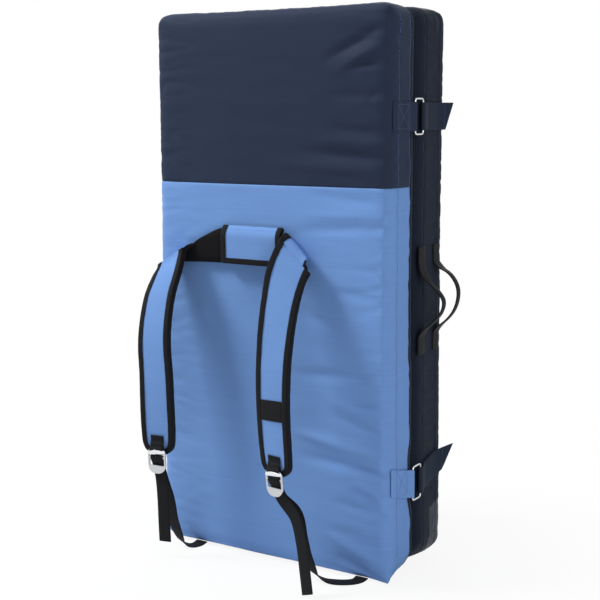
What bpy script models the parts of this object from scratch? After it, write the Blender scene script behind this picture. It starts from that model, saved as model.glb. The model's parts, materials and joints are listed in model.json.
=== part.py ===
"""Folding bouldering crash pad, closed and standing on its short side.

Metres, +Z up. The origin is on the floor, in the middle of the carry half's base. The shoulder
straps are on the -Y face, the closures and side handles on the +X side, and the fold is on -X.
"""

import math
from dataclasses import dataclass

import bmesh
import bpy
import numpy as np
from mathutils import Matrix, Vector

# Closed pad and its two halves
PAD_WIDTH = 0.500
PAD_HEIGHT = 1.000
HALF_THICKNESS = 0.0997
HALVES_GAP = 0.0006
EDGE_RADIUS = 0.025
BOTTOM_CORNER_RADIUS = 0.045
TOP_CORNER_RADIUS = 0.032
INNER_CORNER_RADIUS = 0.012
FACE_CROWN = 0.004
OPEN_SIDE_PULL = 0.004
TOP_SAG = 0.002
CROWN_RING_SHARES = (0.62, 0.34, 0.12)
CORNER_STEPS = 5
SIDE_STEPS = 6
END_STEPS = 4
EDGE_STEPS = 3

# Cover fabric and its seams
FABRIC = 0.0010
FIT = 0.0003
COLOUR_SEAM_HEIGHT = 0.690
FACE_SEAM_DEPTH = 0.028
LANDING_SEAM_DEPTH = 0.028
PATCH_DEPTH = 0.048
PATCH_WIDTH = 0.060
PATCH_HEIGHT = 0.098
PATCH_SLOPE_SHARE = 0.28

# Foam layers
LANDING_FOAM = 0.018
BASE_FOAM = 0.015

# Fold hinge strip and foam-access zips on the -X side
HINGE_STANDOFF = 0.0036
HINGE_STRIP_THICKNESS = 0.0012
HINGE_STRIP_END_MARGIN = 0.055
ZIP_TAPE_WIDTH = 0.012
ZIP_TAPE = 0.0006
ZIP_COIL_WIDTH = 0.0036
ZIP_COIL = 0.0008
ZIP_END_MARGIN = 0.070
SLIDER_LENGTH = 0.011
SLIDER_WIDTH = 0.0076
SLIDER_WALL = 0.0007

# Closures: fabric tab, metal ring and hook-and-loop strap
UPPER_CLOSURE_HEIGHT = 0.810
LOWER_CLOSURE_HEIGHT = 0.1635
LOWER_TAB_RISE = 0.0175
LOWER_STRAP_RISE = 0.0235
RING_WIRE_RADIUS = 0.0020
RING_BAR_SPACING = 0.030
RING_HALF_STRAIGHT = 0.0253
RING_CORNER_RADIUS = 0.0050
RING_SIDES = 8
RING_POSITION = 0.0315
TAB_WIDTH = 0.050
TAB_FABRIC = 0.0012
TAB_LAP = 0.032
TAB_START_ANGLE = 60.0
CLOSURE_STRAP_WIDTH = 0.048
CLOSURE_STRAP = 0.0014
CLOSURE_SEWN_REACH = 0.074
CLOSURE_FREE_REACH = 0.1075
CLOSURE_END_SLANT = 0.016
CLOSURE_TIP_LIFT = 0.016
CLOSURE_HEEL_LIFT = 0.0055
UPPER_TIP_LIFT_SHARE = 0.85
LOWER_TIP_LIFT_SHARE = 1.25
LOOP_PLAY = 0.0004
TAB_ROWS = 16
LOOP_ROWS = 13
CLOSURE_ROWS = 16

# Side handles
HANDLE_WIDTH = 0.025
HANDLE_WEBBING = 0.0020
HANDLE_TOP_HEIGHT = 0.583
HANDLE_SEWN_LENGTH = 0.034
HANDLE_SPAN = 0.125
HANDLE_REACH = 0.0445
HANDLE_ROWS = 30
INNER_HANDLE_PLACE = 0.0192
OUTER_HANDLE_PLACE = 0.0775
INNER_ARCH_SHARES = (
    (0.10, 0.10), (0.22, 0.34), (0.36, 0.78), (0.48, 1.00),
    (0.62, 0.93), (0.78, 0.60), (0.90, 0.22),
)
OUTER_ARCH_SHARES = (
    (0.05, 0.16), (0.16, 0.66), (0.36, 1.00), (0.54, 0.98),
    (0.70, 0.80), (0.83, 0.50), (0.93, 0.18),
)

# Yoke patch over the tops of the shoulder straps
YOKE_LEFT = -0.0860
YOKE_RIGHT = 0.0415
YOKE_TOP = 0.6145
YOKE_HEIGHT = 0.067
YOKE_FACE = 0.0008
YOKE_PADDING = 0.0035
YOKE_BACK = 0.0008
YOKE_ROWS = 8
YOKE_DRAPE_SHARES = ((0.0, 0.0), (0.065, 0.46), (0.11, 0.86), (0.16, 1.05), (0.45, 1.06), (0.75, 1.03))

# Shoulder straps
STRAP_WIDTH = 0.068
STRAP_FACE = 0.0008
STRAP_PADDING = 0.0058
STRAP_MESH = 0.0012
STRAP_PLUMP_SHARE = 0.22
STRAP_END_WIDTH = 0.058
STRAP_END_RADIUS = 0.022
STRAP_TAPER = 0.055
STRAP_END_HEIGHT = 0.192
STRAP_STANDOFF = 0.059
STRAP_YAW = 6.0
STRAP_DRIFT = 0.010
BINDING = 0.0008
BINDING_FLANGE = 0.0105
SEWN_END_TOP = 0.5970
SEWN_END_WIDTH = 0.050
FOLD_RADIUS = 0.0094
SEWN_ROWS = 9
STRAP_TWIST_REACH = 0.080
STRAP_TWIST_ROWS = 11
STRAP_HANG_ROWS = 12
ARCH_SHARES = (
    (0.00, 0.00), (0.05, 0.14), (0.115, 0.37), (0.235, 0.65), (0.36, 0.86),
    (0.51, 0.965), (0.66, 1.00), (0.80, 0.975), (0.90, 0.935), (1.00, 0.90),
)
SKEW_SHARES = ((0.00, 1.00), (0.10, 0.62), (0.20, 0.28), (0.32, 0.06), (0.42, 0.00), (1.00, 0.00))
STATION_SHARES = (0.10, 0.20, 0.32, 0.45, 0.58, 0.70, 0.80, 0.90, 1.00)

# Bare band across the right strap
BAND_HEIGHT = 0.036
BAND_CENTRE = 0.309
BAND_FABRIC = 0.0006

# Ladder-lock buckles and their tabs
BUCKLE_WIDTH = 0.038
BUCKLE_PLATE = 0.0030
BUCKLE_RAIL = 0.0040
BUCKLE_BAR = 0.0050
BUCKLE_UPPER_WINDOW = 0.0090
BUCKLE_MIDDLE_BAR = 0.0040
BUCKLE_LOWER_WINDOW = 0.0130
BUCKLE_LIP = 0.0150
BUCKLE_TOP_RADIUS = 0.0080
BUCKLE_LIP_RADIUS = 0.0165
BUCKLE_WINDOW_RADIUS = 0.0010
BUCKLE_LIP_ANGLE = 10.0
BUCKLE_BEVEL = 0.0009
BUCKLE_RISE = 0.0105
BUCKLE_TAB_WIDTH = 0.0275
BUCKLE_TAB_TOP = 0.0270
BUCKLE_TAB_LAP = 0.0125
BAR_PLAY = 0.0003

# Adjusting webbing
WEBBING_WIDTH = 0.025
WEBBING = 0.0014
WEBBING_PLAY = 0.0004
WEBBING_FLOOR_GAP = 0.0005
THREAD_TOP_SHARE = 0.42
THREAD_SHOULDER_SHARE = 0.75
THREAD_DIVE_SHARE = 0.30
THREAD_TILT_SHARE = 0.20
WINDOW_LEAN_SHARE = 0.22
RUN_ROLL_SHARES = (1.6, 3.0, 2.0)
RUN_LANDING_SHARES = ((1.0, 0.15), (0.5, 0.55), (0.0, 1.0))
ANCHOR_PLACE = 0.0100
THREAD_ROWS = 16
RUN_ROWS = 30
TAIL_ROWS = 20
CURVE_SAMPLES = 24
PROBE = 0.0004

HALF_WIDTH = PAD_WIDTH / 2
FACE_Y = -HALF_THICKNESS / 2
FOLD_Y = HALF_THICKNESS / 2 + HALVES_GAP / 2
FOLD_X = -HALF_WIDTH - HINGE_STANDOFF
EDGE_FACET_CUT = EDGE_RADIUS * (2.0 - math.cos(math.radians(30.0)) - math.sin(math.radians(30.0)))
HINGE_STRIP_DEPTH = HINGE_STRIP_THICKNESS * (1.0 + math.sqrt(2.0)) + FIT * math.sqrt(2.0)
HINGE_STRIP_REACH = (EDGE_FACET_CUT + HALVES_GAP / 2 + HINGE_STANDOFF - HINGE_STRIP_DEPTH) / 2
STRAP_CORE = STRAP_FACE + STRAP_PADDING + STRAP_MESH + 2 * FIT
STRAP_HALF = STRAP_CORE / 2 + FIT + BINDING
YOKE_CORE = YOKE_FACE + YOKE_PADDING + YOKE_BACK + 2 * FIT
YOKE_HALF = YOKE_CORE / 2 + FIT + BINDING
SEWN_END_Y = FACE_Y - FACE_CROWN - FIT - STRAP_CORE / 2
STRAP_FOLD_Y = SEWN_END_Y - 2 * FOLD_RADIUS


@dataclass(frozen=True)
class StrapSide:
    """Where one shoulder strap folds over, hangs and is anchored."""

    name: str
    sign: int
    fold_inner: tuple
    fold_outer: tuple
    fold_slip: float
    centre: float
    buckle_x: float
    drift_shares: tuple
    sewn_shares: tuple
    anchor_x: float
    run_shares: tuple
    webbing_lean: float
    tail_end: tuple
    tail_shares: tuple


RIGHT_FOLD_INNER = (0.0430, 0.5990)
RIGHT_FOLD_OUTER = (0.1040, 0.5425)
RIGHT_FOLD_SLIP = 0.003
RIGHT_CENTRE = 0.0685
RIGHT_BUCKLE_X = 0.0735
RIGHT_ANCHOR_X = 0.190
RIGHT_WEBBING_LEAN = 0.0085
RIGHT_TAIL_END = (0.0700, 0.0260, 0.0060)
LEFT_FOLD_INNER = (-0.1560, 0.5750)
LEFT_FOLD_OUTER = (-0.2135, 0.5400)
LEFT_FOLD_SLIP = 0.0085
LEFT_CENTRE = -0.1890
LEFT_BUCKLE_X = -0.1880
LEFT_ANCHOR_X = -0.160
LEFT_WEBBING_LEAN = 0.0040
LEFT_TAIL_END = (0.0085, 0.0000, 0.0290)

RIGHT = StrapSide(
    name="right",
    sign=1,
    fold_inner=RIGHT_FOLD_INNER,
    fold_outer=RIGHT_FOLD_OUTER,
    fold_slip=RIGHT_FOLD_SLIP,
    centre=RIGHT_CENTRE,
    buckle_x=RIGHT_BUCKLE_X,
    drift_shares=((0.0, 0.0), (0.3, -0.1), (0.7, -0.2), (1.0, 0.0)),
    sewn_shares=((0.00, 0.0, 0.00, 0.0), (0.50, 0.0, 0.42, 0.0), (0.83, 0.2, 0.82, 0.2)),
    anchor_x=RIGHT_ANCHOR_X,
    run_shares=(
        (0.16, 0.20, 0.117), (0.488, 0.275, 0.211), (0.736, 0.315, 0.324), (0.926, 0.41, 0.455),
        (1.0, 0.60, 0.54), (1.0, 0.83, 0.65), (1.0, 0.98, 0.82),
    ),
    webbing_lean=RIGHT_WEBBING_LEAN,
    tail_end=RIGHT_TAIL_END,
    tail_shares=((0.20, 0.44, 0.12), (0.48, 0.69, 0.38), (0.78, 0.86, 0.69), (1.0, 1.0, 1.0)),
)
LEFT = StrapSide(
    name="left",
    sign=-1,
    fold_inner=LEFT_FOLD_INNER,
    fold_outer=LEFT_FOLD_OUTER,
    fold_slip=LEFT_FOLD_SLIP,
    centre=LEFT_CENTRE,
    buckle_x=LEFT_BUCKLE_X,
    drift_shares=((0.0, 0.0), (0.12, -0.3), (0.26, -0.75), (0.4, -0.6), (0.7, 0.2), (1.0, 0.1)),
    sewn_shares=(
        (0.00, 0.0, 0.00, 0.0), (0.30, 0.0, 0.26, 0.0), (0.57, 0.08, 0.57, 0.1), (0.78, 0.42, 0.83, 0.5),
    ),
    anchor_x=LEFT_ANCHOR_X,
    run_shares=(
        (0.352, 0.14, 0.215), (0.625, 0.05, 0.35), (0.81, 0.1, 0.474), (0.965, 0.40, 0.60),
        (1.0, 0.83, 0.72), (1.0, 1.0, 0.86),
    ),
    webbing_lean=LEFT_WEBBING_LEAN,
    tail_end=LEFT_TAIL_END,
    tail_shares=((0.38, 0.65, 0.0), (0.68, 0.8, 0.0), (1.0, 1.0, 0.0)),
)

# Colour, roughness and metallic value of each finish
FINISHES = {
    "navy_fabric": ((0.026, 0.036, 0.062), 0.78, 0.0),
    "blue_fabric": ((0.105, 0.225, 0.490), 0.76, 0.0),
    "black_webbing": ((0.010, 0.010, 0.012), 0.70, 0.0),
    "black_mesh": ((0.012, 0.012, 0.013), 0.88, 0.0),
    "black_binding": ((0.010, 0.010, 0.011), 0.68, 0.0),
    "closure_webbing": ((0.020, 0.026, 0.044), 0.74, 0.0),
    "grey_reinforcement": ((0.105, 0.120, 0.145), 0.55, 0.0),
    "buckle_metal": ((0.780, 0.790, 0.800), 0.24, 1.0),
    "ring_metal": ((0.740, 0.750, 0.760), 0.22, 1.0),
    "zip_coil": ((0.014, 0.015, 0.018), 0.50, 0.0),
    "slider_metal": ((0.060, 0.062, 0.066), 0.38, 0.6),
    "soft_foam": ((0.620, 0.560, 0.360), 0.95, 0.0),
    "firm_foam": ((0.070, 0.075, 0.085), 0.90, 0.0),
}


def clear_scene():
    """Remove every object that the new file starts with."""
    for item in list(bpy.data.objects):
        bpy.data.objects.remove(item, do_unlink=True)


def finish_material(finish):
    """Return the material of a finish, made the first time it is asked for."""
    found = bpy.data.materials.get(finish)
    if found:
        return found
    colour, roughness, metallic = FINISHES[finish]
    material = bpy.data.materials.new(finish)
    material.use_nodes = True
    shader = material.node_tree.nodes["Principled BSDF"]
    shader.inputs["Base Color"].default_value = (*colour, 1.0)
    shader.inputs["Roughness"].default_value = roughness
    shader.inputs["Metallic"].default_value = metallic
    return material


def add_pivot(name, place, parent=None):
    """Add an empty on a joint's axis; the pieces that turn about it are its children."""
    pivot = bpy.data.objects.new(name, None)
    bpy.context.scene.collection.objects.link(pivot)
    pivot.empty_display_size = HANDLE_WIDTH
    pivot.location = place
    bpy.context.view_layer.update()
    attach(pivot, parent)
    return pivot


def attach(item, parent):
    """Parent an object without moving it."""
    if parent is None:
        return
    item.parent = parent
    item.matrix_parent_inverse = parent.matrix_world.inverted()
    bpy.context.view_layer.update()


def add_piece(name, bm, finish, parent=None, smooth_angle=40.0):
    """Turn a bmesh into a named object with its finish."""
    mesh = bpy.data.meshes.new(name)
    bm.to_mesh(mesh)
    bm.free()
    mesh.shade_smooth()
    mesh.set_sharp_from_angle(angle=math.radians(smooth_angle))
    piece = bpy.data.objects.new(name, mesh)
    piece.data.materials.append(finish_material(finish))
    bpy.context.scene.collection.objects.link(piece)
    attach(piece, parent)
    return piece


def loft(rings, closed=False, mirrored_from=None):
    """Skin a list of rings of points into a solid with its faces pointing out.

    Layers that lie close together are made of triangles whose diagonals run the same way on
    both of their broad sides; the second side starts at the point mirrored_from.
    """
    bm = bmesh.new()
    loops = [[bm.verts.new(tuple(point)) for point in ring] for ring in rings]
    pairs = list(zip(loops, loops[1:]))
    if closed:
        pairs.append((loops[-1], loops[0]))
    for low, high in pairs:
        for index in range(len(low)):
            after = (index + 1) % len(low)
            corners = (low[index], low[after], high[after], high[index])
            if mirrored_from is None:
                bm.faces.new(corners)
                continue
            turn = 1 if index >= mirrored_from else 0
            bm.faces.new([corners[(turn + step) % 4] for step in (0, 1, 2)])
            bm.faces.new([corners[(turn + step) % 4] for step in (0, 2, 3)])
    if not closed:
        bm.faces.new(list(reversed(loops[0])))
        bm.faces.new(loops[-1])
    bmesh.ops.recalc_face_normals(bm, faces=bm.faces)
    return bm


def smooth_curve(points):
    """Return a dense smooth curve through the points, which may be unevenly spaced."""
    stations = np.asarray(points, dtype=float)
    spans = np.diff(stations, axis=0)
    lengths = np.linalg.norm(spans, axis=1)[:, None]
    ways = spans / lengths
    inner = (ways[:-1] * lengths[1:] + ways[1:] * lengths[:-1]) / (lengths[1:] + lengths[:-1])
    tangents = np.vstack((ways[:1], inner, ways[-1:]))
    shares = np.linspace(0.0, 1.0, CURVE_SAMPLES, endpoint=False)[:, None]
    pieces = []
    for index, length in enumerate(lengths):
        rise = spans[index]
        out = tangents[index] * length
        into = tangents[index + 1] * length
        bend = 3 * rise - 2 * out - into
        twist = out + into - 2 * rise
        pieces.append(stations[index] + out * shares + bend * shares ** 2 + twist * shares ** 3)
    return np.vstack(pieces + [stations[-1:]])


def even_steps(values):
    """Return as many rows as a smooth curve through as many points has, straight from one to the next."""
    rows = np.asarray(values, dtype=float)
    places = np.arange(0, (len(rows) - 1) * CURVE_SAMPLES + 1) / CURVE_SAMPLES
    return np.column_stack([np.interp(places, np.arange(len(rows)), column) for column in rows.T])


def table_value(table, share):
    """Read a smooth table of (share, value) pairs."""
    dense = smooth_curve(table)
    return float(np.interp(share, dense[:, 0], dense[:, 1]))


class Ribbon:
    """A band of fabric in space between two smooth edges.

    u runs along the band, v across it from its middle and h off its outer face.
    """

    def __init__(self, left, right, width, start=0):
        self.left = smooth_curve(left)
        self.right = smooth_curve(right)
        self.width = width
        middle = (self.left + self.right) / 2
        steps = np.linalg.norm(np.diff(middle, axis=0), axis=1)
        self.along = np.concatenate(([0.0], np.cumsum(steps)))
        self.along -= self.along[start * CURVE_SAMPLES]
        self.first = float(self.along[0])
        self.last = float(self.along[-1])
        self.plump = None

    def spot(self, u, v):
        """Return the point at u along and v across, beyond an end by a straight run."""
        inside = min(max(u, self.first), self.last)
        left = self._read(self.left, inside)
        right = self._read(self.right, inside)
        point = left + (right - left) * (0.5 + v / self.width)
        if u != inside:
            back = inside - math.copysign(PROBE, u - inside)
            point = point + (point - self.spot(back, v)) * abs(u - inside) / PROBE
        return point

    def station(self, index):
        """Return the u of one of the points that the ribbon was made through."""
        return float(self.along[index * CURVE_SAMPLES])

    def _read(self, edge, u):
        return np.array([np.interp(u, self.along, edge[:, axis]) for axis in range(3)])

    def frame(self, u, v=0.0):
        """Return the unit vectors along, across and out of the band."""
        along = self.spot(u + PROBE, v) - self.spot(u - PROBE, v)
        across = self.spot(u, self.width / 2) - self.spot(u, -self.width / 2)
        out = np.cross(along, across)
        return (
            along / np.linalg.norm(along),
            across / np.linalg.norm(across),
            out / np.linalg.norm(out),
        )

    def point(self, u, v, h):
        """Return the point h off the band, farther off where the band is plump."""
        swell = self.plump(u, v) if self.plump else 1.0
        return self.spot(u, v) + self.frame(u, v)[2] * h * swell


def ribbon_from_path(points, outs, width, floor=None):
    """Make a ribbon along a smooth path, with the direction its outer face looks at each point."""
    picks = slice(None, None, CURVE_SAMPLES // 4)
    middle = smooth_curve(points)[picks]
    looks = even_steps(outs)[picks]
    across = np.cross(looks, np.gradient(middle, axis=0))
    across = across / np.linalg.norm(across, axis=1)[:, None] * width / 2
    left = middle - across
    right = middle + across
    if floor is not None:
        left[:, 2] = np.maximum(left[:, 2], floor)
        right[:, 2] = np.maximum(right[:, 2], floor)
    return Ribbon(left, right, width)


def thread_rows(ribbon, near, near_count, far_count):
    """Return u values over a ribbon, closer together over the stretch that starts it."""
    border = ribbon.first + near
    far = list(np.linspace(border, ribbon.last, far_count))
    return list(np.linspace(ribbon.first, border, near_count, endpoint=False)) + far


def strip_ring(ribbon, u, half_width, low, high, columns):
    """Return one cross-section of a strip: across its low face, and back across its high face."""
    places = np.linspace(-half_width, half_width, columns + 1)
    ring = [ribbon.point(u, v, low) for v in places]
    return ring + [ribbon.point(u, v, high) for v in reversed(places)]


def strip(ribbon, rows, half_widths, low, high, columns=1):
    """Skin a strip of a ribbon between two heights off its middle face."""
    halves = half_widths if isinstance(half_widths, list) else [half_widths] * len(rows)
    rings = [strip_ring(ribbon, u, half, low, high, columns) for u, half in zip(rows, halves)]
    return loft(rings, mirrored_from=columns + 1)


def slab_outline(shrink, inset):
    """Return the (x, z) outline of a slab, drawn in by shrink; corners never grow sharper than inset."""
    side = HALF_WIDTH - shrink
    top = PAD_HEIGHT - shrink
    bottom_radius = max(BOTTOM_CORNER_RADIUS - shrink, INNER_CORNER_RADIUS - inset)
    top_radius = max(TOP_CORNER_RADIUS - shrink, INNER_CORNER_RADIUS - inset)
    corners = (
        (side - bottom_radius, shrink + bottom_radius, bottom_radius, -90.0, SIDE_STEPS),
        (side - top_radius, top - top_radius, top_radius, 0.0, END_STEPS),
        (top_radius - side, top - top_radius, top_radius, 90.0, SIDE_STEPS),
        (bottom_radius - side, shrink + bottom_radius, bottom_radius, 180.0, END_STEPS),
    )
    points = []
    for index, (x, z, radius, start, steps) in enumerate(corners):
        for step in range(CORNER_STEPS + 1):
            angle = math.radians(start + 90.0 * step / CORNER_STEPS)
            points.append((x + radius * math.cos(angle), z + radius * math.sin(angle)))
        following = corners[(index + 1) % len(corners)]
        turn = math.radians(following[3])
        end = (following[0] + following[2] * math.cos(turn), following[1] + following[2] * math.sin(turn))
        here = points[-1]
        for step in range(1, steps):
            share = step / steps
            points.append((here[0] + (end[0] - here[0]) * share, here[1] + (end[1] - here[1]) * share))
    return [settle(x, z) for x, z in points]


def settle(x, z):
    """Pull the open side in between its corners and let the top edge sag a little."""
    hollow = 1.0 - (2 * z / PAD_HEIGHT - 1.0) ** 2
    if x > 0:
        x -= OPEN_SIDE_PULL * hollow * x / HALF_WIDTH
    z -= TOP_SAG * (z / PAD_HEIGHT) ** 4 * (1.0 - (x / HALF_WIDTH) ** 2)
    return x, z


def open_side(z):
    """Return the x of the open side's wall at a height."""
    return settle(HALF_WIDTH, z)[0]


def slab_stations(inset):
    """Return (depth from the face plane, shrink) for each ring, from the face's middle inwards."""
    stations = []
    for share in CROWN_RING_SHARES:
        swell = FACE_CROWN * (1.0 - (1.0 - share) ** 2)
        stations.append((inset - swell, EDGE_RADIUS + share * (HALF_WIDTH - EDGE_RADIUS)))
    round_off = [math.radians(90.0 * step / EDGE_STEPS) for step in range(EDGE_STEPS + 1)]
    radius = EDGE_RADIUS - inset
    for angle in round_off:
        stations.append((EDGE_RADIUS - radius * math.cos(angle), EDGE_RADIUS - radius * math.sin(angle)))
    for angle in reversed(round_off):
        depth = HALF_THICKNESS - EDGE_RADIUS + radius * math.cos(angle)
        stations.append((depth, EDGE_RADIUS - radius * math.sin(angle)))
    return stations


def slab_surface(rear, inset=0.0):
    """Build the closed outer surface of a half, or one inset inside it."""
    rings = []
    for depth, shrink in slab_stations(inset):
        y = 2 * FOLD_Y - FACE_Y - depth if rear else FACE_Y + depth
        rings.append([(x, y, z) for x, z in slab_outline(shrink, inset)])
    return loft(rings)


def cut(bm, place, normal, keep_inner=True):
    """Cut a surface with a plane and keep the part behind it, or the part in front."""
    geometry = bm.verts[:] + bm.edges[:] + bm.faces[:]
    bmesh.ops.bisect_plane(
        bm, geom=geometry, plane_co=place, plane_no=normal,
        clear_outer=keep_inner, clear_inner=not keep_inner,
    )


def score(bm, place, normal):
    """Cut edges into a surface along a plane and keep both parts."""
    geometry = bm.verts[:] + bm.edges[:] + bm.faces[:]
    bmesh.ops.bisect_plane(bm, geom=geometry, plane_co=place, plane_no=normal)


def seam_plane(depth_from_face, rear):
    """Return the y of a seam that runs round a half at a depth from its face."""
    return 2 * FOLD_Y - FACE_Y - depth_from_face if rear else FACE_Y + depth_from_face


def keep_band(bm, rear, near, far):
    """Keep the part of a half's surface between two depths from its face."""
    face_way = 1.0 if rear else -1.0
    if near is not None:
        cut(bm, (0.0, seam_plane(near + FIT / 2, rear), 0.0), (0.0, face_way, 0.0))
    if far is not None:
        cut(bm, (0.0, seam_plane(far - FIT / 2, rear), 0.0), (0.0, -face_way, 0.0))


def keep_height(bm, low=None, high=None):
    """Keep the part of a surface between two heights."""
    if low is not None:
        cut(bm, (0.0, 0.0, low + FIT / 2), (0.0, 0.0, -1.0))
    if high is not None:
        cut(bm, (0.0, 0.0, high - FIT / 2), (0.0, 0.0, 1.0))


def add_panel(name, surface, finish, parent):
    """Give an open piece of surface its fabric thickness, inwards, and add it."""
    piece = add_piece(name, surface, finish, parent)
    wall = piece.modifiers.new("fabric", "SOLIDIFY")
    wall.thickness = FABRIC
    wall.offset = -1.0
    wall.use_even_offset = True
    return piece


def patch_planes(side, slack):
    """Return the planes round a lower corner patch of the rear half, moved outwards by slack."""
    depth_y = seam_plane(PATCH_DEPTH + slack, True)
    slope = Vector((0.0, -PATCH_SLOPE_SHARE, 1.0)).normalized()
    slope_place = Vector((0.0, depth_y, PATCH_HEIGHT)) + slope * slack
    return (
        ((0.0, depth_y, 0.0), (0.0, -1.0, 0.0)),
        (tuple(slope_place), tuple(slope)),
        ((side * (HALF_WIDTH - PATCH_WIDTH - slack), 0.0, 0.0), (-side, 0.0, 0.0)),
    )


def behind_planes(face, planes):
    """Tell whether a face's middle lies behind every plane."""
    centre = face.calc_center_median()
    return all((centre - Vector(place)).dot(Vector(normal)) < 0 for place, normal in planes)


def clear_patches(bm):
    """Cut the places of the two corner patches out of a panel of the rear half."""
    left = patch_planes(-1.0, FIT / 2)
    right = patch_planes(1.0, FIT / 2)
    for place, normal in left + right[-1:]:
        score(bm, place, normal)
    doomed = [face for face in bm.faces if behind_planes(face, left) or behind_planes(face, right)]
    bmesh.ops.delete(bm, geom=doomed, context="FACES")


def add_corner_patches(parent):
    """Add the reinforced patches at the rear half's lower corners."""
    for name, side in (("rear_corner_patch_left", -1.0), ("rear_corner_patch_right", 1.0)):
        surface = slab_surface(True)
        for place, normal in patch_planes(side, -FIT / 2):
            cut(surface, place, normal)
        add_panel(name, surface, "grey_reinforcement", parent)


def add_carry_cover():
    """Add the five fabric panels of the carry half."""
    landing_seam = HALF_THICKNESS - LANDING_SEAM_DEPTH
    for name, finish, low, high in (
        ("lower", "blue_fabric", None, COLOUR_SEAM_HEIGHT),
        ("upper", "navy_fabric", COLOUR_SEAM_HEIGHT, None),
    ):
        face = slab_surface(False)
        keep_band(face, False, None, FACE_SEAM_DEPTH)
        keep_height(face, low, high)
        add_panel(f"carry_face_panel_{name}", face, finish, None)
        gusset = slab_surface(False)
        keep_band(gusset, False, FACE_SEAM_DEPTH, landing_seam)
        keep_height(gusset, low, high)
        add_panel(f"carry_gusset_{name}", gusset, finish, None)
    landing = slab_surface(False)
    keep_band(landing, False, landing_seam, None)
    add_panel("carry_landing_panel", landing, "navy_fabric", None)


def add_rear_cover(parent):
    """Add the three fabric panels and two corner patches of the rear half."""
    landing_seam = HALF_THICKNESS - LANDING_SEAM_DEPTH
    for name, near, far in (
        ("face_panel", None, FACE_SEAM_DEPTH),
        ("gusset", FACE_SEAM_DEPTH, landing_seam),
        ("landing_panel", landing_seam, None),
    ):
        panel = slab_surface(True)
        keep_band(panel, True, near, far)
        if name != "landing_panel":
            clear_patches(panel)
        add_panel(f"rear_{name}", panel, "navy_fabric", parent)
    add_corner_patches(parent)


def add_foam(half, rear, parent):
    """Add the three foam layers inside a half's cover."""
    inset = FABRIC + FIT
    landing = HALF_THICKNESS - inset - LANDING_FOAM
    base = inset + BASE_FOAM
    layers = (
        ("base_foam", "firm_foam", None, base),
        ("core_foam", "soft_foam", base, landing),
        ("landing_foam", "firm_foam", landing, None),
    )
    for name, finish, near, far in layers:
        layer = slab_surface(rear, inset)
        keep_band(layer, rear, near, far)
        open_edges = [edge for edge in layer.edges if edge.is_boundary]
        bmesh.ops.holes_fill(layer, edges=open_edges)
        bmesh.ops.recalc_face_normals(layer, faces=layer.faces)
        add_piece(f"{half}_{name}", layer, finish, parent)


def bar_prism(outline, low, high):
    """Raise a solid from an (x, y) outline between two heights."""
    return loft([[(x, y, z) for x, y in outline] for z in (low, high)])


def add_hinge_strip():
    """Add the fabric strip that bends over the fold axis and holds the halves together."""
    wall = HINGE_STRIP_THICKNESS
    edge_x = FOLD_X + HINGE_STRIP_REACH + wall
    outer = [(edge_x, FOLD_Y - HINGE_STRIP_REACH), (FOLD_X, FOLD_Y), (edge_x, FOLD_Y + HINGE_STRIP_REACH)]
    inner = [(x + wall * math.sqrt(2.0), y) for x, y in reversed(outer)]
    strip_solid = bar_prism(outer + inner, HINGE_STRIP_END_MARGIN, PAD_HEIGHT - HINGE_STRIP_END_MARGIN)
    add_piece("fold_hinge_strip", strip_solid, "navy_fabric", None, smooth_angle=20.0)


def zip_place(rear):
    """Return the y of a half's zip, over the seam beside its landing panel."""
    return seam_plane(HALF_THICKNESS - LANDING_SEAM_DEPTH, rear)


def add_zip(half, rear, parent):
    """Add a half's foam-access zip on the fold side: tape with a raised coil."""
    base = -HALF_WIDTH - FIT
    middle = zip_place(rear)
    tape = base - ZIP_TAPE
    coil = tape - ZIP_COIL
    outline = [
        (base, middle - ZIP_TAPE_WIDTH / 2), (base, middle + ZIP_TAPE_WIDTH / 2),
        (tape, middle + ZIP_TAPE_WIDTH / 2), (tape, middle + ZIP_COIL_WIDTH / 2),
        (coil, middle + ZIP_COIL_WIDTH / 2), (coil, middle - ZIP_COIL_WIDTH / 2),
        (tape, middle - ZIP_COIL_WIDTH / 2), (tape, middle - ZIP_TAPE_WIDTH / 2),
    ]
    solid = bar_prism(outline, ZIP_END_MARGIN, PAD_HEIGHT - ZIP_END_MARGIN)
    add_piece(f"{half}_zip", solid, "zip_coil", parent, smooth_angle=20.0)


def slider_outline(rear, skirt):
    """Return the (x, y) outline of a zip slider that straddles the coil."""
    middle = zip_place(rear)
    base = -HALF_WIDTH - FIT - ZIP_TAPE - FIT
    roof = base - ZIP_COIL
    top = roof - SLIDER_WALL
    groove = ZIP_COIL_WIDTH / 2 + FIT
    side = SLIDER_WIDTH / 2 - skirt
    return [
        (base, middle + groove), (base, middle + side), (top, middle + side),
        (top, middle - side), (base, middle - side), (base, middle - groove),
        (roof, middle - groove), (roof, middle + groove),
    ]


def add_slider(half, rear, height, parent):
    """Add the slider that rides on a zip's coil."""
    pivot = add_pivot(f"{half}_zip_slide", (-HALF_WIDTH, zip_place(rear), height), parent)
    body = loft([
        [(x, y, height + z) for x, y in slider_outline(rear, taper)]
        for z, taper in (
            (-SLIDER_LENGTH / 2, SLIDER_WALL), (-SLIDER_LENGTH / 4, 0.0),
            (SLIDER_LENGTH / 4, 0.0), (SLIDER_LENGTH / 2, SLIDER_WALL),
        )
    ])
    add_piece(f"{half}_zip_slider", body, "slider_metal", pivot, smooth_angle=25.0)


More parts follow.
